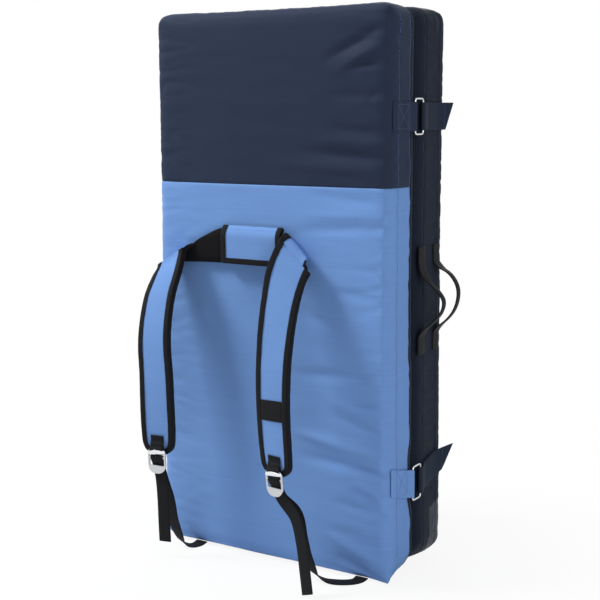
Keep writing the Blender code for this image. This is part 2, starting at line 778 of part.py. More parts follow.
def add_halves(rear_body):
    """Add the covers, foam, zips and fold of both halves."""
    add_carry_cover()
    add_foam("carry", False, None)
    add_zip("carry", False, None)
    add_slider("carry", False, ZIP_END_MARGIN + SLIDER_LENGTH, None)
    add_rear_cover(rear_body)
    add_foam("rear", True, rear_body)
    add_zip("rear", True, rear_body)
    add_slider("rear", True, ZIP_END_MARGIN + SLIDER_LENGTH, rear_body)
    add_hinge_strip()


def ring_bar_places():
    """Return the y of the tab's bar and of the strap's bar of a closure ring."""
    tab_bar = FOLD_Y - (RING_POSITION - RING_BAR_SPACING / 2) - RING_WIRE_RADIUS
    return tab_bar, tab_bar + RING_BAR_SPACING


def ring_x(height):
    """Return the x of a closure ring's plane: its tab lies on the wall behind it."""
    return closure_wall(height, TAB_WIDTH) + FIT + TAB_FABRIC + LOOP_PLAY + RING_WIRE_RADIUS


def add_ring(name, height):
    """Add a rectangular wire ring with round corners, which turns about its tab bar."""
    near, far = ring_bar_places()
    x = ring_x(height)
    pivot = add_pivot(f"{name}_turn", (x, near, height))
    corner = RING_CORNER_RADIUS
    centres = (
        (far - corner, RING_HALF_STRAIGHT, 0.0), (near + corner, RING_HALF_STRAIGHT, 90.0),
        (near + corner, -RING_HALF_STRAIGHT, 180.0), (far - corner, -RING_HALF_STRAIGHT, 270.0),
    )
    rings = []
    for y, z, start in centres:
        for step in range(CORNER_STEPS):
            angle = math.radians(start + 90.0 * step / (CORNER_STEPS - 1))
            outward = Vector((0.0, math.cos(angle), math.sin(angle)))
            middle = Vector((x, y, height + z)) + outward * corner
            rings.append(wire_section(middle, outward))
    add_piece(name, loft(rings, closed=True), "ring_metal", pivot, smooth_angle=60.0)


def wire_section(middle, outward):
    """Return the points of a round wire's section."""
    points = []
    for side in range(RING_SIDES):
        angle = 2 * math.pi * side / RING_SIDES
        offset = outward * math.cos(angle) + Vector((1.0, 0.0, 0.0)) * math.sin(angle)
        points.append(middle + offset * RING_WIRE_RADIUS)
    return points


def hairpin(centre_x, centre_y, radius, start, end, steps=8):
    """Return (x, y) points round a bar from one angle to another, measured from +Y towards +X."""
    angles = [math.radians(start + (end - start) * step / steps) for step in range(steps + 1)]
    return [(centre_x + radius * math.sin(angle), centre_y + radius * math.cos(angle)) for angle in angles]


def upright_ribbon(path, middles, width):
    """Make a ribbon along an (x, y) path with its width upright at given middle heights."""
    left = [(x, y, middle - width / 2) for (x, y), middle in zip(path, middles)]
    right = [(x, y, middle + width / 2) for (x, y), middle in zip(path, middles)]
    return Ribbon(left, right, width)


def closure_wall(height, width):
    """Return the x of the flat that a closure lies on: the wall where it stands out most."""
    return max(open_side(height - width / 2), open_side(height + width / 2))


def dense_rows(ribbon, count):
    """Return evenly spaced u values over a whole ribbon."""
    return list(np.linspace(ribbon.first, ribbon.last, count))


def add_ring_tab(name, finish, height, rise):
    """Add the tab that wraps the carry half's front edge and loops round the ring's near bar."""
    near, _ = ring_bar_places()
    x = ring_x(height)
    wall = closure_wall(height, TAB_WIDTH)
    loop = RING_WIRE_RADIUS + LOOP_PLAY + TAB_FABRIC / 2
    reach = EDGE_RADIUS + FIT + TAB_FABRIC / 2
    path = []
    for angle in np.linspace(TAB_START_ANGLE, 90.0, 4):
        turn = math.radians(angle)
        path.append((wall - EDGE_RADIUS + reach * math.sin(turn), FACE_Y + EDGE_RADIUS - reach * math.cos(turn)))
    lap_end = near - TAB_LAP
    under = wall + FIT + TAB_FABRIC / 2
    over = under + TAB_FABRIC + FIT
    path.append((under, lap_end - 10 * TAB_FABRIC))
    path.append((under, lap_end - 4 * TAB_FABRIC))
    path.append((over, lap_end))
    path.append((over, (lap_end + near) / 2))
    path.append((over + LOOP_PLAY, near - 4 * loop))
    path += hairpin(x, near, loop, 90.0, -90.0)
    path.append((under, near - 2 * loop))
    path.append((under, (lap_end + near) / 2))
    path.append((under, lap_end + 2 * TAB_FABRIC))
    start = path[0][1]
    middles = [height + rise * (near - y) / (near - start) for _, y in path]
    ribbon = upright_ribbon(path, middles, TAB_WIDTH)
    loop_start = ribbon.station(len(path) - 12) - loop
    rows = list(np.linspace(ribbon.first, loop_start, TAB_ROWS, endpoint=False))
    rows += list(np.linspace(loop_start, ribbon.station(len(path) - 3), LOOP_ROWS))
    rows += list(np.linspace(ribbon.station(len(path) - 2), ribbon.last, 3))
    solid = strip(ribbon, rows, TAB_WIDTH / 2, -TAB_FABRIC / 2, TAB_FABRIC / 2)
    add_piece(name, solid, finish)


def add_closure_strap(name, height, rise, lift_share, parent):
    """Add a strap sewn to the rear half, led through the ring and folded back on itself."""
    _, far = ring_bar_places()
    x = ring_x(height)
    wall = closure_wall(height, CLOSURE_STRAP_WIDTH)
    loop = RING_WIRE_RADIUS + LOOP_PLAY + CLOSURE_STRAP / 2
    under = wall + FIT + CLOSURE_STRAP / 2
    over = under + CLOSURE_STRAP + 2 * FIT
    sewn = FOLD_Y + CLOSURE_SEWN_REACH
    free = FOLD_Y + CLOSURE_FREE_REACH
    apart = FOLD_Y + EDGE_RADIUS
    middle_y = (sewn + apart) / 2
    path = [(under, sewn), (under, middle_y), (under, apart), (under + FIT, far + 2 * loop)]
    turn = hairpin(x, far, loop, 270.0, 90.0)
    path += turn
    path += [(x + loop, far + 2 * loop), (over + CLOSURE_STRAP, apart)]
    path += [(over + FIT, middle_y), (over + FIT, (middle_y + 2 * sewn) / 3)]
    path.append((over + CLOSURE_STRAP, sewn))
    lift = CLOSURE_TIP_LIFT * lift_share
    heel_end = free - CLOSURE_END_SLANT
    tops = path + [(over + lift / 2, (sewn + free) / 2), (over + lift, free)]
    heels = path + [(over + CLOSURE_HEEL_LIFT / 2, (sewn + heel_end) / 2), (over + CLOSURE_HEEL_LIFT, heel_end)]
    left = []
    right = []
    for index, (top, heel) in enumerate(zip(tops, heels)):
        middle = height + rise * max(0.0, top[1] - far) / (free - far)
        left.append((*top, middle + CLOSURE_STRAP_WIDTH / 2))
        right.append((*heel, middle - CLOSURE_STRAP_WIDTH / 2))
    ribbon = Ribbon(left, right, CLOSURE_STRAP_WIDTH)
    loop_start = ribbon.station(3)
    loop_end = ribbon.station(4 + len(turn))
    rows = list(np.linspace(ribbon.first, loop_start, 6, endpoint=False))
    rows += list(np.linspace(loop_start, loop_end, LOOP_ROWS, endpoint=False))
    rows += list(np.linspace(loop_end, ribbon.last, CLOSURE_ROWS))
    half = CLOSURE_STRAP / 2
    add_piece(name, strip(ribbon, rows, CLOSURE_STRAP_WIDTH / 2, -half, half, 2), "closure_webbing", parent)


def add_closures(rear_body):
    """Add both closures."""
    upper = UPPER_CLOSURE_HEIGHT
    lower = LOWER_CLOSURE_HEIGHT
    add_ring_tab("upper_ring_tab", "navy_fabric", upper, 0.0)
    add_ring_tab("lower_ring_tab", "blue_fabric", lower, LOWER_TAB_RISE)
    add_ring("upper_closure_ring", upper)
    add_ring("lower_closure_ring", lower)
    add_closure_strap("upper_closure_strap", upper, 0.0, UPPER_TIP_LIFT_SHARE, rear_body)
    add_closure_strap("lower_closure_strap", lower, LOWER_STRAP_RISE, LOWER_TIP_LIFT_SHARE, rear_body)


def add_handle(name, place, shares, parent):
    """Add a webbing handle: sewn flat at both ends, standing out in an arch between them."""
    y = FOLD_Y + place
    drop = HANDLE_TOP_HEIGHT - HANDLE_SEWN_LENGTH
    low = drop - HANDLE_SPAN
    arch = [(HANDLE_TOP_HEIGHT, 0.0), (drop + HANDLE_WEBBING, 0.0)]
    arch += [(drop - HANDLE_SPAN * span, HANDLE_REACH * reach) for span, reach in shares]
    arch += [(low - HANDLE_WEBBING, 0.0), (low - HANDLE_SEWN_LENGTH, 0.0)]
    seat = FIT + HANDLE_WEBBING / 2
    left = []
    right = []
    for z, off in smooth_curve(arch)[::CURVE_SAMPLES // 4]:
        x = open_side(z) + seat + max(0.0, off)
        left.append((x, y - HANDLE_WIDTH / 2, z))
        right.append((x, y + HANDLE_WIDTH / 2, z))
    ribbon = Ribbon(left, right, HANDLE_WIDTH)
    half = HANDLE_WEBBING / 2
    solid = strip(ribbon, dense_rows(ribbon, HANDLE_ROWS), HANDLE_WIDTH / 2, -half, half)
    add_piece(name, solid, "black_webbing", parent)


def add_handles(rear_body):
    """Add the two side handles of the rear half."""
    add_handle("inner_side_handle", INNER_HANDLE_PLACE, INNER_ARCH_SHARES, rear_body)
    add_handle("outer_side_handle", OUTER_HANDLE_PLACE, OUTER_ARCH_SHARES, rear_body)


def layer_heights(core, layers):
    """Return (low, high) of stacked layers, from the outer face down, with a fit between them."""
    spans = []
    high = core / 2
    for thickness in layers:
        spans.append((high - thickness, high))
        high -= thickness + FIT
    return spans


def edge_path_frames(path):
    """Return (edge point, inward direction) along an outline, lengthened so that offsets keep their width."""
    points = np.asarray(path, dtype=float)
    steps = np.diff(points, axis=0)
    normals = np.column_stack((-steps[:, 1], steps[:, 0]))
    normals = normals / np.linalg.norm(normals, axis=1)[:, None]
    frames = []
    for index, place in enumerate(points):
        before = normals[max(index - 1, 0)]
        after = normals[min(index, len(normals) - 1)]
        middle = before + after
        frames.append((place, middle * 2 / middle.dot(middle)))
    return frames


def inset_rows(path, inset):
    """Return the u values and half widths of the strip that lies an inset inside half an outline."""
    frames = edge_path_frames(list(path) + [(path[-1][0], 0.0)])[:-1]
    spots = [place + inward * inset for place, inward in frames]
    return [float(spot[0]) for spot in spots], [float(abs(spot[1])) for spot in spots]


def both_edges(path):
    """Return an outline that goes down one edge and up the other, from its first half."""
    return list(path) + [(path[-1][0], 0.0)] + [(u, -v) for u, v in reversed(path)]


def add_binding(name, ribbon, path, core, finish, parent):
    """Add the tape that wraps an edge: a channel that follows an outline of (u, v) points."""
    inside = core / 2 + FIT
    outside = inside + BINDING
    rings = []
    for place, inward in edge_path_frames(path):
        lip = place + inward * BINDING_FLANGE
        web = place + inward * BINDING
        profile = (
            (lip, outside), (place, outside), (place, -outside), (lip, -outside),
            (lip, -inside), (web, -inside), (web, inside), (lip, inside),
        )
        rings.append([ribbon.point(spot[0], spot[1], h) for spot, h in profile])
    add_piece(name, loft(rings), finish, parent)


def yoke_drape():
    """Return the (z, y) line of the yoke's middle, from its sewn top edge over the straps' ends."""
    seat = FACE_Y - FACE_CROWN - FIT - YOKE_HALF
    rest = SEWN_END_Y - STRAP_CORE / 2 - FIT - YOKE_HALF
    bottom = YOKE_TOP - YOKE_HEIGHT
    return [(YOKE_TOP - YOKE_HEIGHT * drop, seat + (rest - seat) * out) for drop, out in YOKE_DRAPE_SHARES] + [
        (bottom, rest)]


def add_yoke():
    """Add the padded patch that covers the sewn ends of the shoulder straps."""
    drape = yoke_drape()
    width = YOKE_RIGHT - YOKE_LEFT
    left = [(YOKE_LEFT, y, z) for z, y in drape]
    right = [(YOKE_RIGHT, y, z) for z, y in drape]
    ribbon = Ribbon(left, right, width)
    side = width / 2
    path = [(u, -side) for u in np.linspace(0.0, ribbon.last - BINDING_FLANGE - BINDING, YOKE_ROWS)]
    path.append((ribbon.last, -side))
    rows, halves = inset_rows(path, BINDING + FIT)
    names = (("yoke_face", "blue_fabric"), ("yoke_padding", "soft_foam"), ("yoke_back", "black_mesh"))
    spans = layer_heights(YOKE_CORE, (YOKE_FACE, YOKE_PADDING, YOKE_BACK))
    for (name, finish), (low, high) in zip(names, spans):
        add_piece(name, strip(ribbon, rows, halves, low, high, 2), finish)
    add_binding("yoke_binding", ribbon, both_edges(path), YOKE_CORE, "black_binding", None)


def fold_line(side, turn):
    """Return the inner and outer end of the band's width where it has turned by an angle in the fold."""
    inner = np.array(side.fold_inner)
    outer = np.array(side.fold_outer)
    line = (outer - inner) / np.linalg.norm(outer - inner)
    beyond = np.array((-line[1], line[0])) * side.sign
    shift = beyond * FOLD_RADIUS * math.cos(turn) - line * side.fold_slip * turn / math.radians(90.0)
    depth = (SEWN_END_Y + STRAP_FOLD_Y) / 2 + FOLD_RADIUS * math.sin(turn)
    ends = []
    for end in (inner, outer):
        x, z = end + shift
        ends.append((x, depth, z))
    return ends


def strap_stations(side):
    """Return the inner and outer edge points of a whole strap and the index of its fold line."""
    inner = []
    outer = []
    meet = (YOKE_LEFT + YOKE_RIGHT) / 2 + side.sign * FIT
    for inner_reach, inner_drop, outer_reach, outer_drop in side.sewn_shares:
        top = SEWN_END_TOP - (SEWN_END_TOP - side.fold_inner[1]) * inner_drop
        low = SEWN_END_TOP - SEWN_END_WIDTH
        low -= (low - side.fold_outer[1]) * outer_drop
        inner.append((meet + (side.fold_inner[0] - meet) * inner_reach, SEWN_END_Y, top))
        outer.append((meet + (side.fold_outer[0] - meet) * outer_reach, SEWN_END_Y, low))
    for angle in (90.0, 60.0, 30.0, 0.0, -30.0, -60.0, -90.0):
        ends = fold_line(side, math.radians(angle))
        inner.append(ends[0])
        outer.append(ends[1])
    fold_index = len(inner) - 1
    for share in STATION_SHARES:
        ends = hanging_station(side, share)
        inner.append(ends[0])
        outer.append(ends[1])
    return inner, outer, fold_index


def hanging_station(side, share):
    """Return the inner and outer edge points of the hanging strap at a share of its drop."""
    fold_height = (side.fold_inner[1] + side.fold_outer[1]) / 2
    drop = fold_height - STRAP_END_HEIGHT
    fold_skew = (side.fold_inner[1] - side.fold_outer[1]) / 2
    skew = fold_skew * table_value(SKEW_SHARES, share)
    height = fold_height - drop * share
    centre = side.centre + STRAP_DRIFT * table_value(side.drift_shares, share)
    centre += (side.buckle_x - side.centre) * share ** 4
    yaw = math.radians(STRAP_YAW) * min(1.0, 4 * share)
    ends = []
    for way, lift, fold_end in ((-1, skew, side.fold_inner), (1, -skew, side.fold_outer)):
        dropped = min(1.0, max(0.0, (fold_end[1] - height - lift) / drop))
        out = STRAP_STANDOFF * table_value(ARCH_SHARES, dropped)
        half = STRAP_WIDTH / 2
        x = centre + way * side.sign * half * math.cos(yaw)
        y = STRAP_FOLD_Y - out - way * half * math.sin(yaw)
        ends.append((x, y, height + lift))
    return ends


def strap_ribbon(side):
    """Return the ribbon of a whole strap, with u zero on its fold line."""
    inner, outer, fold_index = strap_stations(side)
    left, right = (inner, outer) if side.sign > 0 else (outer, inner)
    ribbon = Ribbon(left, right, STRAP_WIDTH, fold_index)
    ribbon.plump = strap_plump(ribbon.last)
    return ribbon


def strap_plump(length):
    """Return how much thicker a strap is at its middle, fading out towards the buckle."""
    def swell(u, v):
        fade_in = min(1.0, max(0.0, u / STRAP_TAPER))
        fade_out = min(1.0, max(0.0, (length - STRAP_TAPER - u) / STRAP_TAPER))
        across = max(0.0, 1.0 - (2 * v / STRAP_WIDTH) ** 2)
        return 1.0 + STRAP_PLUMP_SHARE * fade_in * fade_out * across
    return swell


def strap_half_width(length, u):
    """Return a strap's half width at u: parallel, then tapered to a round end."""
    left = length - u
    taper = min(1.0, max(0.0, 1.0 - left / STRAP_TAPER))
    half = (STRAP_WIDTH + (STRAP_END_WIDTH - STRAP_WIDTH) * taper ** 2) / 2
    short = max(0.0, STRAP_END_RADIUS - left)
    return half - STRAP_END_RADIUS + math.sqrt(STRAP_END_RADIUS ** 2 - short ** 2)


def strap_edge(length):
    """Return the (u, v) points down a strap's first edge and round its end to the middle."""
    rows = list(np.linspace(FIT / 2, STRAP_TWIST_REACH, STRAP_TWIST_ROWS, endpoint=False))
    rows += list(np.linspace(STRAP_TWIST_REACH, length - STRAP_END_RADIUS, STRAP_HANG_ROWS))
    bends = [math.radians(90.0 * step / CORNER_STEPS) for step in range(1, CORNER_STEPS + 1)]
    rows += [length - STRAP_END_RADIUS * (1.0 - math.sin(angle)) for angle in bends]
    return [(u, -strap_half_width(length, u)) for u in rows]


def add_strap_layers(side, ribbon, parent):
    """Add a strap's face, padding and mesh back inside its bound edge."""
    rows, halves = inset_rows(strap_edge(ribbon.last), BINDING + FIT)
    finishes = (("face", "blue_fabric"), ("padding", "soft_foam"), ("mesh", "black_mesh"))
    spans = layer_heights(STRAP_CORE, (STRAP_FACE, STRAP_PADDING, STRAP_MESH))
    for (name, finish), (low, high) in zip(finishes, spans):
        solid = strip(ribbon, rows, halves, low, high, 4)
        add_piece(f"{side.name}_strap_{name}", solid, finish, parent)


def add_strap_binding(side, ribbon, parent):
    """Add the binding down one edge of a strap, round its end and up the other."""
    outline = both_edges(strap_edge(ribbon.last))
    add_binding(f"{side.name}_strap_binding", ribbon, outline, STRAP_CORE, "black_binding", parent)


def add_sewn_end(side, ribbon):
    """Add the strap's top: its end flat against the pad under the yoke, and the turn it folds over in."""
    turn = math.hypot(math.pi * FOLD_RADIUS, 2 * side.fold_slip)
    half = STRAP_CORE / 2
    flat = list(np.linspace(ribbon.first, -turn - FIT / 2, SEWN_ROWS))
    solid = strip(ribbon, flat, STRAP_WIDTH / 2, -half, half, 2)
    add_piece(f"{side.name}_strap_sewn_end", solid, "black_mesh")
    bend = list(np.linspace(-turn + FIT / 2, -FIT / 2, SEWN_ROWS))
    solid = strip(ribbon, bend, STRAP_WIDTH / 2, -half, half, 2)
    add_piece(f"{side.name}_strap_fold", solid, "blue_fabric")


def add_band(side, ribbon, parent):
    """Add the bare fabric band that crosses the right strap."""
    drops = [-ribbon.spot(u, 0.0)[2] for u in ribbon.along]
    centre = float(np.interp(-BAND_CENTRE, drops, ribbon.along))
    low = STRAP_CORE / 2 + FIT
    rows = list(np.linspace(centre - BAND_HEIGHT / 2, centre + BAND_HEIGHT / 2, 4))
    half = STRAP_WIDTH / 2 - BINDING_FLANGE - FIT
    solid = strip(ribbon, rows, half, low, low + BAND_FABRIC, 4)
    add_piece(f"{side.name}_strap_band", solid, "black_webbing", parent)


def tab_loop_radius():
    """Return the radius of the middle of the webbing round a buckle's top bar."""
    bar = math.hypot(BUCKLE_BAR, BUCKLE_PLATE) / 2 - BUCKLE_BEVEL / 2
    return bar + BAR_PLAY + WEBBING / 2


def buckle_seat(ribbon):
    """Return u and h of a buckle's top bar in front of the strap's end."""
    h = STRAP_HALF + FIT + WEBBING / 2 + tab_loop_radius()
    return ribbon.last - BUCKLE_RISE, h


def buckle_frame(side, ribbon):
    """Return the matrix of a buckle: x across the strap, y out of it and z up it, on its top bar."""
    u, h = buckle_seat(ribbon)
    along, across, out = ribbon.frame(u)
    place = ribbon.spot(u, 0.0) + out * h
    columns = (Vector(-across), Vector(out), Vector(-along))
    matrix = Matrix((
        (columns[0][0], columns[1][0], columns[2][0], place[0]),
        (columns[0][1], columns[1][1], columns[2][1], place[1]),
        (columns[0][2], columns[1][2], columns[2][2], place[2]),
        (0.0, 0.0, 0.0, 1.0),
    ))
    return matrix


def add_buckle_tab(side, ribbon, frame, parent):
    """Add the webbing tab that holds a buckle by its top bar."""
    loop = tab_loop_radius()
    lapped = -loop + WEBBING + FIT
    profile = [(BUCKLE_TAB_TOP, -loop), (BUCKLE_TAB_LAP + 2 * WEBBING, -loop), (BUCKLE_TAB_LAP, lapped)]
    profile += [(2 * loop, lapped + WEBBING)]
    for step in range(9):
        angle = math.radians(180.0 * step / 8)
        profile.append((-loop * math.sin(angle), loop * math.cos(angle)))
    profile += [(2 * loop, -loop), (BUCKLE_TAB_LAP - 2 * WEBBING, -loop)]
    left = [frame @ Vector((-BUCKLE_TAB_WIDTH / 2, y, z)) for z, y in profile]
    right = [frame @ Vector((BUCKLE_TAB_WIDTH / 2, y, z)) for z, y in profile]
    ribbon = Ribbon(left, right, BUCKLE_TAB_WIDTH)
    half = WEBBING / 2
    solid = strip(ribbon, dense_rows(ribbon, 34), BUCKLE_TAB_WIDTH / 2, -half, half)
    add_piece(f"{side.name}_buckle_tab", solid, "black_webbing", parent)


def rounded_rectangle(left, right, low, high, low_radius, high_radius, steps=4):
    """Return the (x, z) points of a rectangle with round corners."""
    corners = (
        (right - low_radius, low + low_radius, low_radius, -90.0),
        (right - high_radius, high - high_radius, high_radius, 0.0),
        (left + high_radius, high - high_radius, high_radius, 90.0),
        (left + low_radius, low + low_radius, low_radius, 180.0),
    )
    points = []
    for x, z, radius, start in corners:
        for step in range(steps + 1):
            angle = math.radians(start + 90.0 * step / steps)
            points.append((x + radius * math.cos(angle), z + radius * math.sin(angle)))
    return points


def buckle_levels():
    """Return the z of each edge of a buckle's bars and windows, from the top bar's axis."""
    bar_low = -BUCKLE_BAR / 2
    window_low = bar_low - BUCKLE_UPPER_WINDOW
    middle_low = window_low - BUCKLE_MIDDLE_BAR
    lower_low = middle_low - BUCKLE_LOWER_WINDOW
    lip_low = lower_low - BUCKLE_LIP
    return bar_low, window_low, middle_low, lower_low, lip_low


def buckle_solid():
    """Build a ladder-lock: a stamped plate with two windows and a lip bent forwards."""
    bar_low, window_low, middle_low, lower_low, lip_low = buckle_levels()
    half = BUCKLE_WIDTH / 2
    opening = half - BUCKLE_RAIL
    small = BUCKLE_WINDOW_RADIUS
    loops = (
        rounded_rectangle(-half, half, lip_low, BUCKLE_BAR / 2, BUCKLE_LIP_RADIUS, BUCKLE_TOP_RADIUS, 6),
        rounded_rectangle(-opening, opening, window_low, bar_low, small, small, 2),
        rounded_rectangle(-opening, opening, lower_low, middle_low, small, small, 2),
    )
    bm = bmesh.new()
    for loop in loops:
        verts = [bm.verts.new((x, -BUCKLE_PLATE / 2, z)) for x, z in loop]
        for index, vert in enumerate(verts):
            bm.edges.new((vert, verts[(index + 1) % len(verts)]))
    bmesh.ops.triangle_fill(bm, edges=bm.edges[:], use_beauty=True, normal=(0.0, -1.0, 0.0))
    score(bm, (0.0, 0.0, lower_low - BUCKLE_RAIL / 4), (0.0, 0.0, 1.0))
    raised = bmesh.ops.extrude_face_region(bm, geom=bm.faces[:])
    moved = [item for item in raised["geom"] if isinstance(item, bmesh.types.BMVert)]
    bmesh.ops.translate(bm, verts=moved, vec=(0.0, BUCKLE_PLATE, 0.0))
    hinge = lower_low - BUCKLE_RAIL / 4
    for vert in bm.verts:
        if vert.co.z < hinge:
            vert.co.y += (hinge - vert.co.z) * math.tan(math.radians(BUCKLE_LIP_ANGLE))
    bmesh.ops.recalc_face_normals(bm, faces=bm.faces)
    return bm


def add_buckle(side, frame, parent):
    """Add a ladder-lock buckle on the pivot of its top bar."""
    bm = buckle_solid()
    bm.transform(frame)
    buckle = add_piece(f"{side.name}_buckle", bm, "buckle_metal", parent, smooth_angle=50.0)
    rounding = buckle.modifiers.new("rounded_edges", "BEVEL")
    rounding.width = BUCKLE_BEVEL
    rounding.segments = 2
    rounding.limit_method = "ANGLE"
    rounding.angle_limit = math.radians(50.0)


def webbing_threading():
    """Return (z, y, lean share) points of the webbing inside a buckle, for the run and for the tail."""
    bar_low, window_low, middle_low, lower_low, lip_low = buckle_levels()
    behind = -BUCKLE_PLATE / 2 - WEBBING_PLAY - WEBBING / 2
    before = -behind
    top = window_low + (BUCKLE_UPPER_WINDOW - tab_loop_radius()) * THREAD_TOP_SHARE
    bar = (window_low + middle_low) / 2
    tail_back = behind - 2 * FIT
    run_back = tail_back - WEBBING - 2 * WEBBING_PLAY
    run = [
        (lip_low, run_back, 1.0), (lower_low, run_back, WINDOW_LEAN_SHARE),
        (middle_low - BUCKLE_MIDDLE_BAR, run_back + WEBBING / 2, 0.0), (bar, behind, 0.0),
        (top - WEBBING / 2, behind * THREAD_SHOULDER_SHARE, 0.0), (top, -WEBBING / 2, 0.0), (top, -FIT / 2, 0.0),
    ]
    tail = [
        (top, FIT / 2, 0.0), (top, WEBBING / 2, 0.0), (top - WEBBING / 2, before * THREAD_SHOULDER_SHARE, 0.0),
        (bar, before, 0.0), (middle_low, before - FIT, 0.0),
        (middle_low - BUCKLE_MIDDLE_BAR * THREAD_SHOULDER_SHARE, before * THREAD_DIVE_SHARE, 0.0),
        (lower_low + BUCKLE_MIDDLE_BAR, tail_back * THREAD_SHOULDER_SHARE, WINDOW_LEAN_SHARE / 2),
        (lower_low - WEBBING, tail_back, WINDOW_LEAN_SHARE), (lip_low, tail_back, 1.0),
    ]
    return run, tail


def buckle_reach():
    """Return how far below its top bar's axis a buckle ends."""
    return -buckle_levels()[-1]


def add_run(side, frame):
    """Add the webbing from the buckle down to the floor and back under the carry half's front edge."""
    run, _ = webbing_threading()
    inside = [frame @ Vector((-side.webbing_lean * lean, y, z)) for z, y, lean in reversed(run)]
    start = inside[-1]
    floor = WEBBING_FLOOR_GAP + WEBBING / 2
    end_y = FACE_Y + ANCHOR_PLACE
    points = [tuple(point) for point in inside]
    outs = [tuple(frame.to_3x3() @ Vector((0.0, 1.0, 0.0)))] * len(points)
    outs[0] = outs[1] = tuple(frame.to_3x3() @ Vector((0.0, THREAD_TILT_SHARE, -1.0)))
    for drop, drift, reach in side.run_shares:
        points.append((
            start.x + (side.anchor_x - start.x) * drift,
            start.y + (end_y - start.y) * reach,
            start.z + (floor - start.z) * drop,
        ))
        turn, roll, late = RUN_ROLL_SHARES
        outs.append((0.0, min(0.0, turn * reach - 1.0), -max(0.0, roll * drop - late)))
    for back, lift in RUN_LANDING_SHARES:
        seat = edge_lift(ANCHOR_PLACE) - FIT - WEBBING / 2 - WEBBING_FLOOR_GAP
        points.append((side.anchor_x, end_y - ANCHOR_PLACE * back, floor + (seat - floor) * lift))
        outs.append((0.0, 0.0, -1.0))
    ribbon = ribbon_from_path(points, outs, WEBBING_WIDTH, floor)
    rows = thread_rows(ribbon, buckle_reach(), THREAD_ROWS, RUN_ROWS)
    half = WEBBING / 2
    add_piece(f"{side.name}_webbing_run", strip(ribbon, rows, WEBBING_WIDTH / 2, -half, half), "black_webbing")


def edge_lift(depth):
    """Return how high the pad's rounded lower edge stands off the floor at a depth from its face."""
    return EDGE_RADIUS - math.sqrt(EDGE_RADIUS ** 2 - (EDGE_RADIUS - depth) ** 2)


def add_tail(side, frame, parent):
    """Add the free tail of the adjusting webbing, which hangs from the buckle."""
    _, tail = webbing_threading()
    inside = [frame @ Vector((-side.webbing_lean * lean, y, z)) for z, y, lean in tail]
    start = inside[-1]
    drift, forward, height = side.tail_end
    points = [tuple(point) for point in inside]
    for drop, drift_share, forward_share in side.tail_shares:
        points.append((
            start.x + drift * drift_share,
            start.y - forward * forward_share,
            start.z + (height - start.z) * drop,
        ))
    outs = [tuple(frame.to_3x3() @ Vector((0.0, 1.0, 0.0)))] * len(points)
    outs[0] = outs[1] = tuple(frame.to_3x3() @ Vector((0.0, THREAD_TILT_SHARE, 1.0)))
    ribbon = ribbon_from_path(points, outs, WEBBING_WIDTH)
    rows = thread_rows(ribbon, buckle_reach(), THREAD_ROWS, TAIL_ROWS)
    half = WEBBING / 2
    solid = strip(ribbon, rows, WEBBING_WIDTH / 2, -half, half)
    add_piece(f"{side.name}_webbing_tail", solid, "black_webbing", parent)


def add_harness():
    """Add the yoke, the shoulder straps, their buckles and the adjusting webbing."""
    add_yoke()
    for side in (LEFT, RIGHT):
        ribbon = strap_ribbon(side)
        add_sewn_end(side, ribbon)
        swing = add_pivot(f"{side.name}_strap_swing", ribbon.point(0.0, 0.0, STRAP_HALF))
        add_strap_layers(side, ribbon, swing)
        add_strap_binding(side, ribbon, swing)
        frame = buckle_frame(side, ribbon)
        add_buckle_tab(side, ribbon, frame, swing)
        if side is RIGHT:
            add_band(side, ribbon, swing)
        tilt = add_pivot(f"{side.name}_buckle_tilt", frame.to_translation(), swing)
        add_buckle(side, frame, tilt)
        add_tail(side, frame, tilt)
        add_run(side, frame)


def build():
    """Build the whole pad."""
    clear_scene()
    rear_body = add_pivot("fold", (FOLD_X, FOLD_Y, 0.0))
    add_halves(rear_body)
    add_closures(rear_body)
    add_handles(rear_body)
    add_harness()


build()
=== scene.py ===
"""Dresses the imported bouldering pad: padded covers, shoulder straps, webbing, buckles, rings and studio."""

import json
import logging
import math
from dataclasses import dataclass, field, replace
from enum import Enum

import bmesh
import bpy
import numpy as np
from mathutils import Matrix, Vector, noise
from mathutils.bvhtree import BVHTree


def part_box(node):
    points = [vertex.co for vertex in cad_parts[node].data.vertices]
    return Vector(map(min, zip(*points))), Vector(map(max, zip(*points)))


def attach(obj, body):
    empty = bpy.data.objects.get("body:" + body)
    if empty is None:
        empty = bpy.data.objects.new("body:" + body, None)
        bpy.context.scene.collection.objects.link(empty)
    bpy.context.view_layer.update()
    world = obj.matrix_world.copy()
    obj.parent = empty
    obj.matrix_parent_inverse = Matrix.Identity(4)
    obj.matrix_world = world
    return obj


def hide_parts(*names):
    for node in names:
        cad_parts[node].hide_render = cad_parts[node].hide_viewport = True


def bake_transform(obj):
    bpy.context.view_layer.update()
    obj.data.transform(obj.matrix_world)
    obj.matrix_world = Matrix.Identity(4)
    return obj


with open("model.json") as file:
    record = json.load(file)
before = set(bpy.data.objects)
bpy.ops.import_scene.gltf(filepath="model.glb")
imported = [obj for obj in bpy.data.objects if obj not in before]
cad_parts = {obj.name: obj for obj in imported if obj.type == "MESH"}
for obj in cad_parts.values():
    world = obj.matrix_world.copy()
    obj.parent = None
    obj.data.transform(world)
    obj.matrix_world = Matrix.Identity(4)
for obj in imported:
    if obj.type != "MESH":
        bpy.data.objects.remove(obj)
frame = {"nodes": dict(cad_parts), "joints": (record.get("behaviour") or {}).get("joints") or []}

LOG = logging.getLogger("pad")
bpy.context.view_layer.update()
IMAGE_PIXELS = 600
SETTLE_FRAMES = 20
WELD = 0.000002
CREASE_ANGLE = math.radians(48)
SHARP_ANGLE = math.radians(60)
FOLD_STRENGTH = 1.75
ROW_STEP = 0.0004
DROP_HEIGHT = 0.2
